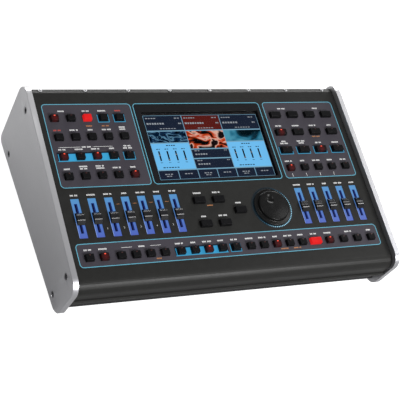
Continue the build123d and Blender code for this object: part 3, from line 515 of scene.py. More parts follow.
def circuit_board():
    """Green solder mask over copper tracks and pads."""
    board = Finish("circuit_board", (0.01, 0.09, 0.035), 0.35, coat_weight=0.3)
    tracks = board.node(
        "TexBrick",
        {"offset": 0.37},
        {"Vector": board.place(), "Scale": 160.0, "Mortar Size": 0.07, "Bias": 0.1},
        "Fac",
    )
    pads = board.node("TexVoronoi", {}, {"Vector": board.place(), "Scale": 260.0}, "Distance") < 0.16
    mask = board.blend(tracks, (0.008, 0.085, 0.03), (0.02, 0.17, 0.06))
    board.set("Base Color", board.blend(pads, mask, (0.55, 0.5, 0.38)))
    board.set("Metallic", pads * 0.9)
    board.bump(tracks, 0.2, 0.00006)
    return board


def rubber(name):
    """Matt rubber with a dusty bloom."""
    soft = Finish(name, (0.018, 0.018, 0.019), 0.8)
    soft.set("Base Color", soft.blend(soft.noise(70.0, 5.0), (0.014, 0.014, 0.015), (0.05, 0.05, 0.05)))
    soft.bump(soft.noise(900.0, 4.0), 0.3, 0.0002)
    return soft


def cover_glass():
    """Thin clear touch glass with faint smears."""
    glass = Finish("touch_glass", (0.002, 0.002, 0.003), 0.05, alpha=0.08, specular_ior_level=0.16)
    glass.set("Roughness", glass.clamp((glass.noise(40.0, 4.0) - 0.45) * 0.4) + 0.04)
    return glass


def key_plastic(colours):
    """Black key plastic, which glows dark red round each lit lamp."""
    plastic = moulded("key_black", tuple(colours.key), 0.32)
    x = plastic.along(RIGHT, ORIGIN)
    s = plastic.along(UPHILL, ORIGIN)
    glow = 0.0
    for bank, lit_ones in LIT_LAMPS.items():
        for centre_x, centre_s in (BANKS[bank][1][index] for index in lit_ones):
            across = x - centre_x
            up = s - (centre_s - 0.8)
            reach = plastic.maths("SQRT", across * across + up * up)
            glow = plastic.clamp(1.0 - reach / 5.4) + glow
    plastic.glow(plastic.blend(glow, (0.0, 0.0, 0.0), tuple(colours.lamp_glow)), 1.0)
    return plastic


def lit(name, colour, strength, dim=None, scale=60.0):
    """Back-lit plastic: even light with a slow change across it."""
    light = Finish(name, tuple(c * 0.12 for c in colour), 0.3, specular_ior_level=0.06)
    low = dim or tuple(c * 0.82 for c in colour)
    light.glow(light.blend(light.noise(scale, 2.0), low, colour), strength)
    return light


def ink(name, colour, shine=0.1):
    """Screen-printed ink with a faint painted glow, so that it still shows a little in the dark."""
    print_ink = Finish(name, colour, 0.5)
    patchy = print_ink.noise(1300.0, 3.0)
    print_ink.set("Base Color", print_ink.blend(patchy, tuple(c * 0.8 for c in colour), colour))
    # Painted glow: the ink gives off light of its own colour, though it is no lamp.
    print_ink.glow(colour, shine)
    print_ink.bump(patchy, 0.1, 0.00004)
    return print_ink


def fader_glow(colours):
    """Blue window light: paler at each window's top and bluer at its foot; the slot's walls stay dark."""
    glow = Finish("light_guide_blue", (0.006, 0.014, 0.06), 0.25, specular_ior_level=0.3)
    s = glow.along(UPHILL, ORIGIN)
    on_top = glow.along(NORMAL, ORIGIN) > WINDOW_TOP - 0.05
    height = glow.clamp((s - (FADER_S - WINDOW[1] / 2)) / WINDOW[1])
    tint = glow.ramp(height, (0.0, tuple(colours.window_foot)), (1.0, tuple(colours.window_top)))
    tint = glow.blend(glow.noise(70.0, 3.0) * 0.25, tint, tuple(c * 0.5 for c in colours.window_foot))
    glow.glow(glow.blend(on_top, (0.008, 0.015, 0.11), tint), 1.0)
    return glow


def guide_glow(colours):
    """Key guides: the two long bands are lit all over, the single guides only along their edges."""
    glow = Finish("key_guide_blue", (0.002, 0.006, 0.012), 0.22, specular_ior_level=0.35)
    x = glow.along(RIGHT, ORIGIN)
    s = glow.along(UPHILL, ORIGIN)
    n = glow.along(NORMAL, ORIGIN)
    bands = 0.0
    for places in BAND_GUIDES:
        centre = (places[0][0] + places[-1][0]) / 2
        width = places[-1][0] - places[0][0] + SMALL_KEY + 2.4
        outline = (centre, places[0][1] - 0.5, width, KEY_LENGTH + 1.2)
        bands = rounded_mask(glow, x, s, outline, 0.3, BAND_EDGE) + bands
    lit_part = bands * (n > -2.2)
    wave = glow.maths("SINE", x * (2 * math.pi / COLUMN_PITCH)) * 0.12 + 0.84
    tone = glow.blend(wave + glow.noise(60.0, 2.0) * 0.1, (0.0, 0.0, 0.0), tuple(colours.guide))
    glow.glow(glow.blend(lit_part, (0.001, 0.006, 0.014), tone), 1.0)
    return glow


def ring_glow():
    """Smoked ring under the dial."""
    ring = Finish("ring_guide", (0.004, 0.006, 0.008), 0.2)
    ring.glow(ring.blend(ring.noise(50.0, 2.0), (0.0, 0.002, 0.004), (0.001, 0.008, 0.014)), 1.0)
    return ring


def tick_glow(colours):
    """Ticks of light on the ring, brightest towards the right and the front."""
    tick = Finish("ring_ticks", (0.004, 0.008, 0.01), 0.7, specular_ior_level=0.0)
    x = tick.along(RIGHT, DIAL_CENTRE)
    s = tick.along(UPHILL, DIAL_CENTRE)
    side = tick.clamp((x * 0.8 - s * 0.6) / 34.0 + 0.45)
    stops = ((0.1, (0.0, 0.0, 0.0)), (0.5, (0.02, 0.12, 0.2)), (0.85, tuple(colours.tick)))
    tick.glow(tick.ramp(side, *stops), 1.0)
    return tick


def picture(name, scale, shift, *stops):
    """Abstract field of colour for the display page."""
    art = Finish(name, (0.0, 0.0, 0.0), 0.4, specular_ior_level=0.0)
    place = art.node("Mapping", {}, {"Vector": art.place(), "Location": shift, "Scale": (1.0, 1.6, 1.0)})
    inputs = {"Vector": place, "Scale": scale, "Detail": 2.0, "Roughness": 0.5, "Distortion": 0.8}
    art.glow(art.ramp(art.node("TexNoise", {}, inputs, 0), *stops), 1.0)
    return art


FINISHES = {}


def build_finishes(colours):
    """Makes every material once and keeps them by name."""
    for material in list(bpy.data.materials):
        bpy.data.materials.remove(material)
    made = [
        panel_coat(colours),
        powder_coat("tray_black", (0.008, 0.008, 0.009), 0.5),
        powder_coat("rear_black", (0.014, 0.014, 0.015), 0.45),
        anodised(),
        cover_glass(),
        polished("display_black", (0.003, 0.003, 0.004), 0.2),
        brushed("bracket_steel", (0.6, 0.6, 0.58)),
        circuit_board(),
        moulded("switch_black", (0.02, 0.02, 0.02), 0.5),
        brushed("fader_metal", (0.5, 0.5, 0.5), 0.4),
        fader_glow(colours),
        guide_glow(colours),
        ring_glow(),
        tick_glow(colours),
        moulded("knob_black", (0.003, 0.003, 0.003), 0.26, 0.02, 0.14),
        brushed("shaft_steel", (0.62, 0.62, 0.64), 0.25),
        moulded("socket_black", (0.014, 0.014, 0.015), 0.42),
        brushed("socket_metal", (0.66, 0.65, 0.62), 0.25),
        brushed("supply_metal", (0.62, 0.62, 0.63), 0.38),
        rubber("foot_rubber"),
        brushed("screw_black", (0.06, 0.06, 0.065), 0.42),
        brushed("screw_plated", (0.34, 0.34, 0.35), 0.4),
        key_plastic(colours),
        lit("key_red", tuple(colours.red_key), 0.9, (0.5, 0.004, 0.006), 90.0),
        moulded("fader_black", (0.003, 0.003, 0.004), 0.2, 0.02, 0.4),
        ink("legend_ink", tuple(colours.legend)),
        ink("legend_amber", (0.3, 0.12, 0.04)),
        ink("legend_red", (0.3, 0.03, 0.02)),
        # The outline lines carry a stronger painted glow than the other inks.
        ink("outline_light", tuple(colours.outline), 0.5),
        lit("guide_edge", tuple(colours.guide_edge), 0.8),
        lit("rim_light", (0.3, 0.45, 0.9), 0.9),
        lit("slot_navy", (0.012, 0.022, 0.13), 1.0),
        lit("led_red", (1.0, 0.13, 0.07), 1.2, (0.95, 0.06, 0.03), 900.0),
        polished("lamp_smoke", (0.03, 0.006, 0.006), 0.2),
        lit("page_ground", (0.22, 0.45, 0.62), 0.8),
        lit("page_navy", (0.006, 0.011, 0.026), 1.0, (0.01, 0.017, 0.036), 12.0),
        lit("page_red", (0.06, 0.006, 0.005), 1.0, (0.13, 0.012, 0.008), 14.0),
        lit("page_sky", tuple(colours.page_sky), 1.0, (0.14, 0.46, 0.82), 9.0),
        lit("page_black", (0.002, 0.004, 0.008), 1.0),
        lit("page_white", (0.34, 0.37, 0.41), 0.9),
        picture(
            "picture_left", 75.0, (0.0, 0.0, 0.0),
            (0.4, (0.0, 0.002, 0.006)), (0.52, (0.006, 0.03, 0.08)),
            (0.57, (0.12, 0.28, 0.42)), (0.63, (0.0, 0.01, 0.03)),
        ),
        picture(
            "picture_centre", 48.0, (0.3, 0.0, 0.0),
            (0.42, (0.003, 0.002, 0.002)), (0.5, (0.6, 0.06, 0.01)),
            (0.55, (0.85, 0.5, 0.4)), (0.6, (0.01, 0.004, 0.004)),
        ),
        picture(
            "picture_right", 32.0, (0.7, 0.0, 0.0),
            (0.38, (0.0, 0.006, 0.01)), (0.47, (0.004, 0.03, 0.05)),
            (0.56, (0.02, 0.16, 0.26)), (0.7, (0.08, 0.34, 0.48)),
        ),
    ]
    FINISHES.update({finish.material.name: finish.material for finish in made})


# ---------------------------------------------------------------- modelling


def only(*pieces):
    """Selects these pieces alone; the last one is active."""
    bpy.ops.object.select_all(action="DESELECT")
    for piece in pieces:
        piece.select_set(True)
    bpy.context.view_layer.objects.active = pieces[-1]


def edit(piece):
    """Goes into edit mode on one piece with nothing of it selected."""
    only(piece)
    bpy.ops.object.mode_set(mode="EDIT")
    bpy.ops.mesh.select_all(action="DESELECT")


def leave():
    """Goes back to object mode."""
    bpy.ops.object.mode_set(mode="OBJECT")


def pick(kind, test):
    """In edit mode, selects just the faces, edges or corners for which test is true."""
    bpy.ops.mesh.select_mode(type=kind)
    bpy.ops.mesh.select_all(action="DESELECT")
    data = bpy.context.object.data
    mesh = bmesh.from_edit_mesh(data)
    items = {"FACE": mesh.faces, "EDGE": mesh.edges, "VERT": mesh.verts}[kind]
    for item in items:
        if test(item):
            item.select_set(True)
    bmesh.update_edit_mesh(data)


def top_face(face):
    """True for a face at the very top of the piece in edit mode."""
    high = max(vert.co.z for vert in bmesh.from_edit_mesh(bpy.context.object.data).verts)
    return face.normal.z > 0.9 and abs(face.calc_center_median().z - high) < 1e-4


def rise(value, shrink=(1.0, 1.0)):
    """Extrudes the selected faces upwards and tapers the new end."""
    bpy.ops.mesh.extrude_region_move(TRANSFORM_OT_translate={"value": (0, 0, value)})
    if shrink != (1.0, 1.0):
        bpy.ops.transform.resize(value=(*shrink, 1.0))


def block(width, length, low, high, x=0.0, s=0.0):
    """Plain block to start from."""
    bpy.ops.mesh.primitive_cube_add(size=1, location=(x, s, (low + high) / 2))
    piece = bpy.context.object
    piece.scale = (width, length, high - low)
    only(piece)
    bpy.ops.object.transform_apply()
    return piece


def tile(width, length, x, s, low, high, corner=0.0, segments=3, line=0.0):
    """Flat piece with rounded corners between the heights low and high, or only a line round its edge."""
    bpy.ops.mesh.primitive_plane_add(size=1, location=(x, s, low))
    piece = bpy.context.object
    piece.scale = (width, length, 1.0)
    only(piece)
    bpy.ops.object.transform_apply()
    edit(piece)
    bpy.ops.mesh.select_all(action="SELECT")
    if corner:
        bpy.ops.mesh.bevel(offset=corner, affect="VERTICES", segments=segments)
        bpy.ops.mesh.select_all(action="SELECT")
    if line:
        bpy.ops.mesh.inset(thickness=line)
        bpy.ops.mesh.delete(type="FACE")
        bpy.ops.mesh.select_all(action="SELECT")
    rise(high - low)
    bpy.ops.mesh.select_all(action="SELECT")
    bpy.ops.mesh.normals_make_consistent(inside=False)
    leave()
    return piece


def round_piece(radius, low, profile, vertices=48):
    """Turned piece: a disc that rises through a profile of radius and height pairs."""
    bpy.ops.mesh.primitive_circle_add(
        vertices=vertices, radius=radius, fill_type="NGON", location=(0, 0, low)
    )
    piece = bpy.context.object
    only(piece)
    bpy.ops.object.transform_apply()
    edit(piece)
    bpy.ops.mesh.select_all(action="SELECT")
    here = (radius, low)
    for wide, high in profile:
        rise(high - here[1], (wide / here[0], wide / here[0]))
        here = (wide, high)
    bpy.ops.mesh.select_all(action="SELECT")
    bpy.ops.mesh.normals_make_consistent(inside=False)
    leave()
    return piece


def apply_modifier(piece, kind, **settings):
    """Adds a modifier with its settings and applies it."""
    only(piece)
    modifier = piece.modifiers.new(kind, kind)
    for name, value in settings.items():
        setattr(modifier, name, value)
    bpy.ops.object.modifier_apply(modifier=modifier.name)


def cut(piece, tool):
    """Takes one closed piece out of another, and removes the tool."""
    apply_modifier(piece, "BOOLEAN", operation="DIFFERENCE", object=tool, solver="EXACT")
    bpy.data.objects.remove(tool)


def soften(piece, width, segments=2, angle=30.0):
    """Rounds the sharp edges of a piece."""
    limit = math.radians(angle)
    apply_modifier(piece, "BEVEL", width=width, segments=segments, limit_method="ANGLE", angle_limit=limit)


def smooth(piece, angle=32.0):
    """Shades curved stretches smooth and keeps flats flat."""
    only(piece)
    bpy.ops.object.shade_smooth_by_angle(angle=math.radians(angle))
    apply_modifier(piece, "WEIGHTED_NORMAL", keep_sharp=True, weight=100)


def twin(piece, x, s, n=0.0):
    """Copy with its own mesh, moved by x, s and n."""
    copied = piece.copy()
    copied.data = piece.data.copy()
    bpy.context.scene.collection.objects.link(copied)
    copied.location = (x, s, n)
    return copied


def spread(piece, places):
    """Copies of a piece at each place, which is x and s or x, s and n; the piece itself goes."""
    copies = [twin(piece, *place) for place in places]
    bpy.data.objects.remove(piece)
    return merge(copies)


def merge(pieces):
    """Joins several pieces into one."""
    only(*pieces)
    if len(pieces) > 1:
        bpy.ops.object.join()
    joined = bpy.context.view_layer.objects.active
    bpy.ops.object.transform_apply()
    return joined


def settle(piece, name, body, finish, matrix=PANEL, angle=32.0, replaced=()):
    """Finishes a piece: its shading, finish, place in the desk and the body that it rides on."""
    piece.name = name
    piece.data.name = name
    if finish:
        piece.data.materials.clear()
        piece.data.materials.append(FINISHES[finish])
    smooth(piece, angle)
    piece.matrix_world = matrix
    only(piece)
    bpy.ops.object.transform_apply()
    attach(piece, body)
    if replaced:
        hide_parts(*replaced)
    return piece


# ---------------------------------------------------------------- settings


def colour_property(name, description, default):
    """A colour that a user may change."""
    return bpy.props.FloatVectorProperty(
        name=name, description=description, default=default, size=3, subtype="COLOR", min=0.0, max=1.0
    )


def size_property(name, description, default, low=0.0, high=500.0):
    """A size in millimetres that a user may change."""
    return bpy.props.FloatProperty(name=name, description=description, default=default, min=low, max=high)


class DeskColours(bpy.types.PropertyGroup):
    """Colours of the desk's finishes and lights."""

    panel: colour_property("Panel", "Powder coat of the top panel", (0.0085, 0.0085, 0.008))
    field: colour_property("Field", "Printed field inside the outlines", (0.032, 0.029, 0.036))
    display_field: colour_property("Display field", "Printed field round the display", (0.003, 0.003, 0.004))
    outline: colour_property("Outline", "Line round each group of controls", (0.05, 0.2, 0.27))
    legend: colour_property("Legend", "Printed marks", (0.46, 0.46, 0.46))
    key: colour_property("Key", "Moulded keys", (0.003, 0.003, 0.0034))
    red_key: colour_property("Red key", "The two lit keys", (0.8, 0.02, 0.02))
    guide: colour_property("Key guide", "Lit band between keys", (0.035, 0.34, 0.62))
    guide_edge: colour_property("Guide edge", "Bright edge of a key guide", (0.06, 0.36, 0.6))
    window_top: colour_property("Window top", "Upper end of a fader window", (0.085, 0.29, 0.515))
    window_foot: colour_property("Window foot", "Lower end of a fader window", (0.07, 0.11, 0.422))
    tick: colour_property("Ring tick", "Lit ticks round the dial", (0.4, 0.78, 1.0))
    page_sky: colour_property("Page panel", "Pale blue panels of the display page", (0.16, 0.52, 0.87))
    lamp_glow: colour_property("Lamp glow", "Red light round a lit lamp", (0.085, 0.002, 0.002))
    floor: colour_property("Floor", "Studio floor", (0.28, 0.28, 0.28))


class DeskSizes(bpy.types.PropertyGroup):
    """Sizes of the fine pieces, in millimetres."""

    outline_line: size_property("Outline width", "Width of the lines round the groups", 0.85, 0.2, 3.0)
    outline_corner: size_property("Outline corner", "Corner radius of those lines", FIELD_CORNER, 1.0, 12.0)
    key_edge: size_property("Key edge", "Rounding of a key's edges", 0.6, 0.1, 1.5)
    key_dish: size_property("Key dish", "Depth of the dish in a key's top", 0.25, 0.0, 0.8)
    cap_edge: size_property("Cap edge", "Rounding of a fader cap's edges", 0.35, 0.1, 0.8)
    mark_height: size_property("Mark height", "Height of the printed marks", 1.8, 0.4, 3.0)
    lamp_width: size_property("Lamp width", "Width of a key's lamp", 2.0, 0.8, 4.0)
    tick_radius: size_property("Tick radius", "Radius of a tick on the dial's ring", 0.7, 0.2, 1.2)
    tick_count: bpy.props.IntProperty(
        name="Tick count", description="Ticks round the dial", default=66, min=12, max=120
    )
    lens: bpy.props.FloatProperty(
        name="Lens", description="Focal length of the studio camera", default=107.8, min=20, max=300
    )


# ---------------------------------------------------------------- operators


class DESK_OT_stage(bpy.types.Operator):
    """Lays the studio floor and sets the lights, the world and the camera"""

    bl_idname = "desk.stage"
    bl_label = "Stage"

    def execute(self, context):
        context.scene.view_settings.view_transform = "Standard"
        finish = Finish("studio_floor", tuple(context.scene.desk_colours.floor), 0.9, specular_ior_level=0.0)
        seen = finish.node("LightPath", {}, {}, "Is Camera Ray")
        finish.glow(finish.blend(seen, (0.16, 0.16, 0.16), (0.9, 0.9, 0.9)), 1.0)
        bpy.ops.mesh.primitive_plane_add(size=9.0, location=(0, 0, CAD_BOX[0].z))
        floor = context.object
        floor.name = "studio_floor"
        floor.data.materials.append(finish.material)
        self.world()
        self.lamp("key_light", (-1.4, -0.2, 2.0), (1.0, 1.0), 22.0)
        self.lamp("front_light", (0.66, -1.5, 1.22), (1.0, 0.5), 62.0)
        self.lamp("rear_light", (1.0, 1.7, 0.75), (1.8, 0.4), 24.0)
        self.lamp("dial_light", (1.6, 0.0, 1.7), (0.7, 0.7), 9.0)
        self.camera(context.scene.desk_sizes.lens)
        return {"FINISHED"}

    def world(self):
        """Even pale surroundings."""
        world = bpy.data.worlds.new("studio_world")
        world.use_nodes = True
        sky = world.node_tree.nodes["Background"]
        sky.inputs["Color"].default_value = (1.0, 1.0, 1.0, 1.0)
        sky.inputs["Strength"].default_value = 0.3
        bpy.context.scene.world = world

    def lamp(self, name, place, size, power):
        """Oblong soft light that looks at the desk."""
        bpy.ops.object.light_add(type="AREA", location=place)
        lamp = bpy.context.object
        lamp.name = name
        lamp.data.shape = "RECTANGLE"
        lamp.data.size, lamp.data.size_y = size
        lamp.data.energy = power
        lamp.rotation_euler = (Vector((0, 0, 0.05)) - Vector(place)).to_track_quat("-Z", "Y").to_euler()

    def camera(self, lens):
        """Camera above the desk's front left corner."""
        bpy.ops.object.camera_add(location=(-0.6876, -0.7315, 1.0479))
        camera = bpy.context.object
        camera.name = "studio_camera"
        camera.data.lens = lens
        aim = Vector((0.48018, 0.51395, -0.71083))
        up = Vector((0.04668, 0.79425, 0.60580))
        turn = Matrix((aim.cross(up), up, -aim)).transposed()
        camera.rotation_euler = turn.to_euler()
        bpy.context.scene.camera = camera


class DESK_OT_finishes(bpy.types.Operator):
    """Makes the materials and gives every CAD node its own"""

    bl_idname = "desk.finishes"
    bl_label = "Finishes"

    def execute(self, context):
        build_finishes(context.scene.desk_colours)
        for entry in frame["record"]["subparts"]:
            data = frame["nodes"][entry["node"]].data
            data.materials.clear()
            data.materials.append(FINISHES[entry["material_slot"]])
        return {"FINISHED"}


class DESK_OT_shells(bpy.types.Operator):
    """Smooths the curved sheets of the case, which keep their CAD shape"""

    bl_idname = "desk.shells"
    bl_label = "Case shells"

    def execute(self, context):
        for node in ("top_panel", "left_cheek", "right_cheek", "bottom_tray", "rear_panel", "rubber_feet",
                     "cheek_screws", "rear_screws", "power_inlet", "audio_sockets", "midi_sockets"):
            self.shell(node)
        return {"FINISHED"}

    def shell(self, node):
        """Merged and smoothly shaded copy of one CAD node."""
        source = frame["nodes"][node]
        shell = source.copy()
        shell.data = source.data.copy()
        shell.parent = None
        bpy.context.scene.collection.objects.link(shell)
        edit(shell)
        bpy.ops.mesh.select_all(action="SELECT")
        bpy.ops.mesh.remove_doubles(threshold=2e-6)
        leave()
        for key in list(shell.keys()):
            del shell[key]
        finish = "screw_plated" if node == "rear_screws" else None
        settle(shell, node + "_shell", "case", finish, Matrix.Identity(4), replaced=(node,))


class DESK_OT_dial(bpy.types.Operator):
    """Turns the data dial with its dimple"""

    bl_idname = "desk.dial"
    bl_label = "Data dial"

    def execute(self, context):
        knob = round_piece(*DIAL_FOOT, DIAL_PROFILE, 128)
        soften(knob, 0.5, 4, 24.0)
        out, angle, ball_r, low = DIMPLE
        turn = math.radians(angle)
        bpy.ops.mesh.primitive_uv_sphere_add(
            segments=64, ring_count=32, radius=ball_r,
            location=(out * math.cos(turn), out * math.sin(turn), low + ball_r),
        )
        cut(knob, context.object)
        knob.location = (*DIAL, 0.0)
        settle(merge([knob]), "dial_knob_turned", "dial", "knob_black", replaced=("dial_knob",))
        return {"FINISHED"}


class DESK_OT_ring(bpy.types.Operator):
    """Sets the ticks of light round the dial"""

    bl_idname = "desk.ring"
    bl_label = "Ring ticks"

    def execute(self, context):
        size = context.scene.desk_sizes
        tick = round_piece(size.tick_radius, RING_TOP, ((size.tick_radius * 0.7, RING_TOP + 0.18),), 10)
        places = []
        for index in range(size.tick_count):
            turn = 2 * math.pi * index / size.tick_count
            places.append((DIAL[0] + TICK_CIRCLE * math.cos(turn), DIAL[1] + TICK_CIRCLE * math.sin(turn)))
        settle(spread(tick, places), "ring_ticks", "case", "ring_ticks")
        return {"FINISHED"}


class DESK_OT_faders(bpy.types.Operator):
    """Models the fader cap with its lever and sets one on every fader"""

    bl_idname = "desk.faders"
    bl_label = "Fader caps"

    def execute(self, context):
        cap = block(*CAP)
        edit(cap)
        for way in (-1, 1):
            bpy.ops.mesh.select_all(action="SELECT")
            bpy.ops.mesh.bisect(
                plane_co=(0, way * CAP_RIDGE, CAP[3]), plane_no=(0, way * CAP_SLOPE[0], CAP_SLOPE[1]),
                use_fill=True, clear_outer=True,
            )
        leave()
        radius, low = CAP_DISH
        bpy.ops.mesh.primitive_cylinder_add(
            vertices=96, radius=radius, depth=20, location=(0, 0, low + radius), rotation=(0, math.pi / 2, 0)
        )
        cut(cap, context.object)
        soften(cap, context.scene.desk_sizes.cap_edge, 3, 24.0)
        lever = block(*LEVER)
        shoe = block(*SHOE)
        soften(shoe, 0.3, 2)
        for body, x in FADERS.items():
            pieces = [twin(part, x, FADER_S + FADER_REST) for part in (cap, lever, shoe)]
            pieces[0].data.materials.append(FINISHES["fader_black"])
            for part in pieces[1:]:
                part.data.materials.append(FINISHES["fader_metal"])
            settle(merge(pieces), body + "_cap", body, None, replaced=(body,))
        for part in (cap, lever, shoe):
            bpy.data.objects.remove(part)
        return {"FINISHED"}


class DESK_OT_keys(bpy.types.Operator):
    """Models the small and the wide key and sets them out in their banks"""

    bl_idname = "desk.keys"
    bl_label = "Keys"

    def execute(self, context):
        size = context.scene.desk_sizes
        blanks = {width: self.blank(width, size) for width in (SMALL_KEY, WIDE_KEY)}
        for bank, (width, places) in BANKS.items():
            finish = "key_red" if bank in RED_KEYS else "key_black"
            keys = merge([twin(blanks[width], x, s) for x, s in places])
            settle(keys, bank + "_caps", bank, finish, replaced=(bank,))
        for blank in blanks.values():
            bpy.data.objects.remove(blank)
        return {"FINISHED"}

    def blank(self, width, size):
        """One whole key: rim, body, tapered cap with a shallow dish, and its stem."""
        rim, foot, top = KEY_RIM
        key = block(width + 2 * rim, KEY_LENGTH + 2 * rim, foot, top)
        edit(key)
        pick("FACE", top_face)
        bpy.ops.mesh.inset(thickness=rim)
        rise(-top)
        taper = 2 * KEY_RISE * math.tan(math.radians(KEY_DRAFT))
        rise(KEY_RISE, ((width - taper) / width, (KEY_LENGTH - taper) / KEY_LENGTH))
        bpy.ops.mesh.inset(thickness=KEY_BORDER)
        bpy.ops.transform.translate(value=(0, 0, -size.key_dish))
        leave()
        soften(key, size.key_edge, 3, 20.0)
        stem = round_piece(STEM[0], STEM[1], ((STEM[0], STEM[2]),), 20)
        return merge([stem, key])


class DESK_OT_lamps(bpy.types.Operator):
    """Sets a lamp in each key that has one, lit or dark"""

    bl_idname = "desk.lamps"
    bl_label = "Key lamps"

    def execute(self, context):
        width = context.scene.desk_sizes.lamp_width
        for bank, lit_ones in LIT_LAMPS.items():
            places = BANKS[bank][1]
            for state, finish in (("lit", "led_red"), ("dark", "lamp_smoke")):
                chosen = [p for i, p in enumerate(places) if (i in lit_ones) == (state == "lit")]
                if not chosen:
                    continue
                lamp = tile(width, LAMP_LENGTH, 0.0, 0.0, KEY_RISE - 0.5, KEY_RISE + 0.08, 0.5, 4)
                soften(lamp, 0.12, 2, 50.0)
                lamps = spread(lamp, [(x, s + LAMP_RISE) for x, s in chosen])
                settle(lamps, f"{bank}_{state}_lamps", bank, finish)
        return {"FINISHED"}


class DESK_OT_outlines(bpy.types.Operator):
    """Prints the rounded lines round the groups of controls"""

    bl_idname = "desk.outlines"
    bl_label = "Outlines"

    def execute(self, context):
        size = context.scene.desk_sizes
        for name, (x, s, width, length) in OUTLINES.items():
            line = tile(width, length, x, s, 0.0, PRINT_T, size.outline_corner, 8, size.outline_line)
            settle(line, name + "_outline", "case", "outline_light")
        return {"FINISHED"}


class DESK_OT_guide_edges(bpy.types.Operator):
    """Lights the edges of the key guides and of the fader windows"""

    bl_idname = "desk.guide_edges"
    bl_label = "Guide edges"

    def execute(self, context):
        edges = []
        low, high = GUIDE_TOP, GUIDE_TOP + EDGE_T
        length = KEY_LENGTH + 2 * GUIDE_MARGIN[1]
        for width, (x, s) in SINGLE_GUIDES:
            across = width + 2 * GUIDE_MARGIN[0]
            for side in (-1, 1):
                edge = x + side * (across / 2 - 0.45)
                edges.append(tile(0.7, length * 0.92, edge, s - length * 0.04, low, high))
            edges.append(tile(across - 0.2, 0.8, x, s - length / 2 + 0.5, low, high))
        for places in BAND_GUIDES:
            across = places[-1][0] - places[0][0] + SMALL_KEY + 2 * GUIDE_MARGIN[0]
            x = (places[0][0] + places[-1][0]) / 2
            s = places[0][1]
            edges.append(tile(across - 0.2, 0.9, x, s - length / 2 + 0.55, low, high))
        settle(merge(edges), "guide_edges", "case", "guide_edge")
        rims = []
        wide, long, down = RIM_LIGHT
        for x in FADERS.values():
            left = x - WINDOW[0] / 2
            rims.append(tile(wide, long, left + wide, FADER_S - down, WINDOW_TOP, WINDOW_TOP + 0.1))
        settle(merge(rims), "window_rims", "case", "rim_light")
        wide, long, out = SLOT_LIP
        sides = [x + side * out for x in FADERS.values() for side in (-1, 1)]
        lips = [tile(wide, long, x, FADER_S, *SLOT_LIP_N) for x in sides]
        settle(merge(lips), "slot_lips", "case", "slot_navy")
        return {"FINISHED"}


class DESK_OT_marks(bpy.types.Operator):
    """Prints rows of small blocks where captions stand, and plain numbers between the faders"""

    bl_idname = "desk.marks"
    bl_label = "Printed marks"

    def execute(self, context):
        height = context.scene.desk_sizes.mark_height
        white = self.captions(label_places(), height)
        amber = self.captions(amber_places(), height * 0.8)
        red = self.captions([over_key(*label) for label in RED_LABELS], height)
        for x, s, width in LABEL_LINES:
            white.append(tile(width, 0.45, x, s, 0.0, PRINT_T))
        for x, s in BANKS["voice_keys"][1][:4]:
            white.append(tile(0.6, 4.4, x, s - LABEL_RISE, 0.0, PRINT_T))
        for x in list(FADERS.values())[2:6]:
            amber.append(tile(4.6, 0.4, x + COLUMN_PITCH / 2, FADER_S + 15.0, 0.0, PRINT_T))
        settle(merge(white), "white_marks", "case", "legend_ink")
        settle(merge(amber), "amber_marks", "case", "legend_amber")
        settle(merge(red), "red_marks", "case", "legend_red")
        self.numbers()
        return {"FINISHED"}

    def captions(self, places, height):
        """A caption at each place; the patterns of blocks take turns."""
        groups = [(words, places[start::len(WORDS)]) for start, words in enumerate(WORDS)]
        return [spread(self.blocks(words, height), chosen) for words, chosen in groups if chosen]

    def blocks(self, words, height):
        """Row of small blocks, with a gap between its words."""
        x = -BLOCK_PITCH * (sum(words) + len(words) - 2) / 2
        row = []
        for count in words:
            for _ in range(count):
                row.append(tile(BLOCK, height, x, 0.0, 0.0, PRINT_T))
                x += BLOCK_PITCH
            x += BLOCK_PITCH
        return merge(row)

    def numbers(self):
        """Plain numbers between the left faders."""
        figures = []
        for index, x in enumerate(list(FADERS.values())[1:6]):
            bpy.ops.object.text_add(location=(x + COLUMN_PITCH / 2 - 0.8, FADER_S - 15.0, 0.0))
            text = bpy.context.object
            text.data.body = str(index + 1)
            text.data.size = 3.0
            text.data.extrude = PRINT_T / 2
            only(text)
            bpy.ops.object.convert(target="MESH")
            figures.append(bpy.context.object)
        figures = merge(figures)
        figures.location.z = PRINT_T / 2
        settle(merge([figures]), "fader_numbers", "case", "legend_ink")


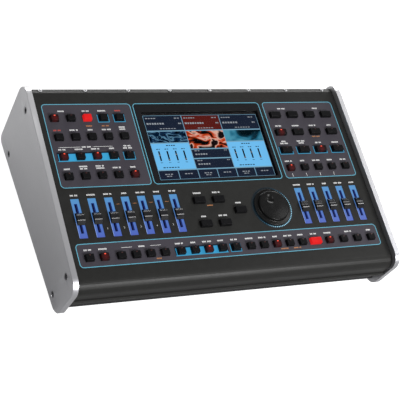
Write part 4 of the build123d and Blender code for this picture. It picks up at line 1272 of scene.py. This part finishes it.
class DESK_OT_page(bpy.types.Operator):
    """Lays out the display page from blank cells, bars and fields of colour"""

    bl_idname = "desk.page"
    bl_label = "Display page"

    def execute(self, context):
        self.put("page_ground", "page_ground", [self.cell(0.0, 1.0, 0.0, 1.0, 0)])
        left, right = PAGE_COLUMNS
        navy = [
            self.cell(0.0, left, 0.757, 1.0), self.cell(right, 1.0, 0.757, 1.0),
            self.cell(left, right, 0.312, 0.455), self.cell(left, right, 0.150, 0.305),
        ]
        navy += [self.cell(i / 6, (i + 1) / 6, 0.0, 0.143) for i in range(6)]
        self.put("page_cells", "page_navy", navy)
        self.put("page_title", "page_red", [self.cell(left, right, 0.757, 1.0)])
        panels = [self.cell(0.0, left, 0.150, 0.560), self.cell(right, 1.0, 0.150, 0.560)]
        self.put("page_mixers", "page_sky", panels)
        self.put("page_picture_left", "picture_left", [self.cell(0.0, left, 0.566, 0.75)])
        self.put("page_picture_centre", "picture_centre", [self.cell(left, right, 0.462, 0.75)])
        self.put("page_picture_right", "picture_right", [self.cell(right, 1.0, 0.566, 0.75)])
        dark, pale = [], []
        for start in (0.0, right):
            for share in (0.052, 0.122, 0.193, 0.263):
                x = start + share
                dark.append(self.bar(x, 0.365, 0.013, 0.15))
                pale.append(self.bar(x, 0.345 + 0.04 * math.sin(share * 40), 0.02, 0.012))
                dark += self.words(x, 0.47, 0.036, 0.012)
                dark += self.words(x, 0.262, 0.02, 0.01)
            dark += self.words(start + 0.165, 0.525, 0.08, 0.014)
            dark += self.words(start + 0.12, 0.185, 0.14, 0.014)
        for start, wide in ((0.015, 0.15), (left + 0.015, 0.17), (right + 0.015, 0.14)):
            pale += self.words(start + wide / 2, 0.87, wide, 0.026)
            pale += self.words(start + wide * 0.3, 0.955, wide * 0.6, 0.014)
            pale += self.words(start + 0.27, 0.955, 0.05, 0.014)
            pale += self.words(start + 0.285, 0.87, 0.03, 0.02)
            pale += self.words(start + 0.17, 0.79, 0.14, 0.012)
        for s in (0.405, 0.25):
            pale += self.words(left + 0.08, s - 0.03, 0.11, 0.02)
            pale += self.words(left + 0.05, s + 0.025, 0.05, 0.012)
            pale += self.words(left + 0.3, s + 0.025, 0.03, 0.012)
        for index in range(6):
            pale += self.words((index + 0.5) / 6, 0.082, 0.07, 0.014)
            if index % 2 == 0:
                pale += self.words((index + 0.5) / 6, 0.052, 0.05, 0.012)
        self.put("page_slots", "page_black", dark)
        self.put("page_bars", "page_white", pale)
        return {"FINISHED"}

    def cell(self, x0, x1, s0, s1, layer=1):
        """Tile between shares of the page's width and length, a hair inside its borders."""
        inset = 0.45 if layer else 0.0
        width = (x1 - x0) * PAGE[2] - 2 * inset
        length = (s1 - s0) * PAGE[3] - 2 * inset
        return self.flat((x0 + x1) / 2, (s0 + s1) / 2, width, length, layer)

    def bar(self, x, s, width, length):
        """Small bar centred at shares of the page, on its upper layer."""
        return self.flat(x, s, width * PAGE[2], length * PAGE[3], 2)

    def words(self, x, s, width, length):
        """Line of text drawn as short blank bars."""
        count = max(2, round(width / WORD_STEP))
        step = width / count
        start = x - width / 2
        fills = [WORD_FILLS[index % len(WORD_FILLS)] for index in range(count)]
        return [self.bar(start + step * (i + 0.5), s, step * fill, length) for i, fill in enumerate(fills)]

    def flat(self, x, s, width, length, layer):
        """Thin tile on its layer of the page."""
        low = PAGE_N + 0.02 * layer
        return tile(width, length, PAGE[0] + x * PAGE[2], PAGE[1] + s * PAGE[3], low, low + 0.02)

    def put(self, name, finish, tiles):
        """Joins the tiles of one finish."""
        settle(merge(tiles), name, "case", finish)


class DESK_OT_rear(bpy.types.Operator):
    """Adds nuts, contacts and printed marks to the sockets on the rear"""

    bl_idname = "desk.rear"
    bl_label = "Rear details"

    def execute(self, context):
        corner, height, hole = NUT
        nut = round_piece(corner, 0.0, ((corner, height),), 6)
        bpy.ops.mesh.primitive_cylinder_add(vertices=40, radius=hole, depth=8, location=(0, 0, 0))
        cut(nut, context.object)
        soften(nut, 0.25, 2, 40.0)
        nuts = spread(nut, [(x, JACK_Z) for x in JACKS])
        settle(nuts, "jack_nuts", "case", "socket_metal", REAR)
        places = []
        for centre in ROUND_SOCKETS:
            for index in range(5):
                turn = math.radians(180 + 45 * index)
                across, down = CONTACT_CIRCLE * math.cos(turn), CONTACT_CIRCLE * math.sin(turn)
                places.append((centre + across, ROUND_Z - down, -8.0))
        contacts = [spread(round_piece(0.7, 0.0, ((0.7, 5.4), (0.35, 6.0)), 12), places)]
        contacts += [block(width, 1.2, -9.0, 0.0, x, DATA_Z) for x, width in DATA_TONGUES]
        contacts += [block(2.0, 6.0, -14.5, -1.0, x, z) for x, z in INLET_PINS]
        settle(merge(contacts), "socket_contacts", "case", "socket_metal", REAR)
        bars = [tile(9.0, REAR_MARK, x, JACK_Z + 11.5, 0.0, PRINT_T, 0.3, 2) for x in JACKS]
        labelled = ROUND_SOCKETS + tuple(x for x, _ in DATA_TONGUES)
        bars += [tile(10.0, REAR_MARK, x, ROUND_Z + 15.2, 0.0, PRINT_T, 0.3, 2) for x in labelled]
        bars += [tile(0.4, 22.0, x, ROUND_Z + 1.2, 0.0, PRINT_T) for x in (56.0, 2.0, -80.0)]
        settle(merge(bars), "rear_marks", "case", "legend_ink", REAR)
        return {"FINISHED"}


OPERATORS = (
    DESK_OT_finishes, DESK_OT_stage, DESK_OT_shells, DESK_OT_dial, DESK_OT_ring, DESK_OT_faders, DESK_OT_keys,
    DESK_OT_lamps, DESK_OT_outlines, DESK_OT_guide_edges, DESK_OT_marks, DESK_OT_page, DESK_OT_rear,
)


class DESK_PT_panel(bpy.types.Panel):
    """Lists the desk's pieces in the sidebar"""

    bl_idname = "DESK_PT_panel"
    bl_label = "Control desk"
    bl_space_type = "VIEW_3D"
    bl_region_type = "UI"
    bl_category = "Control desk"

    def draw(self, context):
        layout = self.layout
        for operator in OPERATORS:
            layout.operator(operator.bl_idname)
        for group in (context.scene.desk_sizes, context.scene.desk_colours):
            box = layout.box()
            for name in group.bl_rna.properties.keys():
                if name not in ("rna_type", "name"):
                    box.prop(group, name)


CLASSES = (DeskColours, DeskSizes, *OPERATORS, DESK_PT_panel)


def register():
    for cls in CLASSES:
        bpy.utils.register_class(cls)
    bpy.types.Scene.desk_colours = bpy.props.PointerProperty(type=DeskColours)
    bpy.types.Scene.desk_sizes = bpy.props.PointerProperty(type=DeskSizes)


def unregister():
    del bpy.types.Scene.desk_sizes
    del bpy.types.Scene.desk_colours
    for cls in reversed(CLASSES):
        bpy.utils.unregister_class(cls)


def run(operator):
    """Calls one operator through bpy.ops."""
    group, name = operator.bl_idname.split(".")
    getattr(getattr(bpy.ops, group), name)()


def main():
    register()
    for operator in OPERATORS:
        run(operator)


if __name__ == "__main__":
    main()
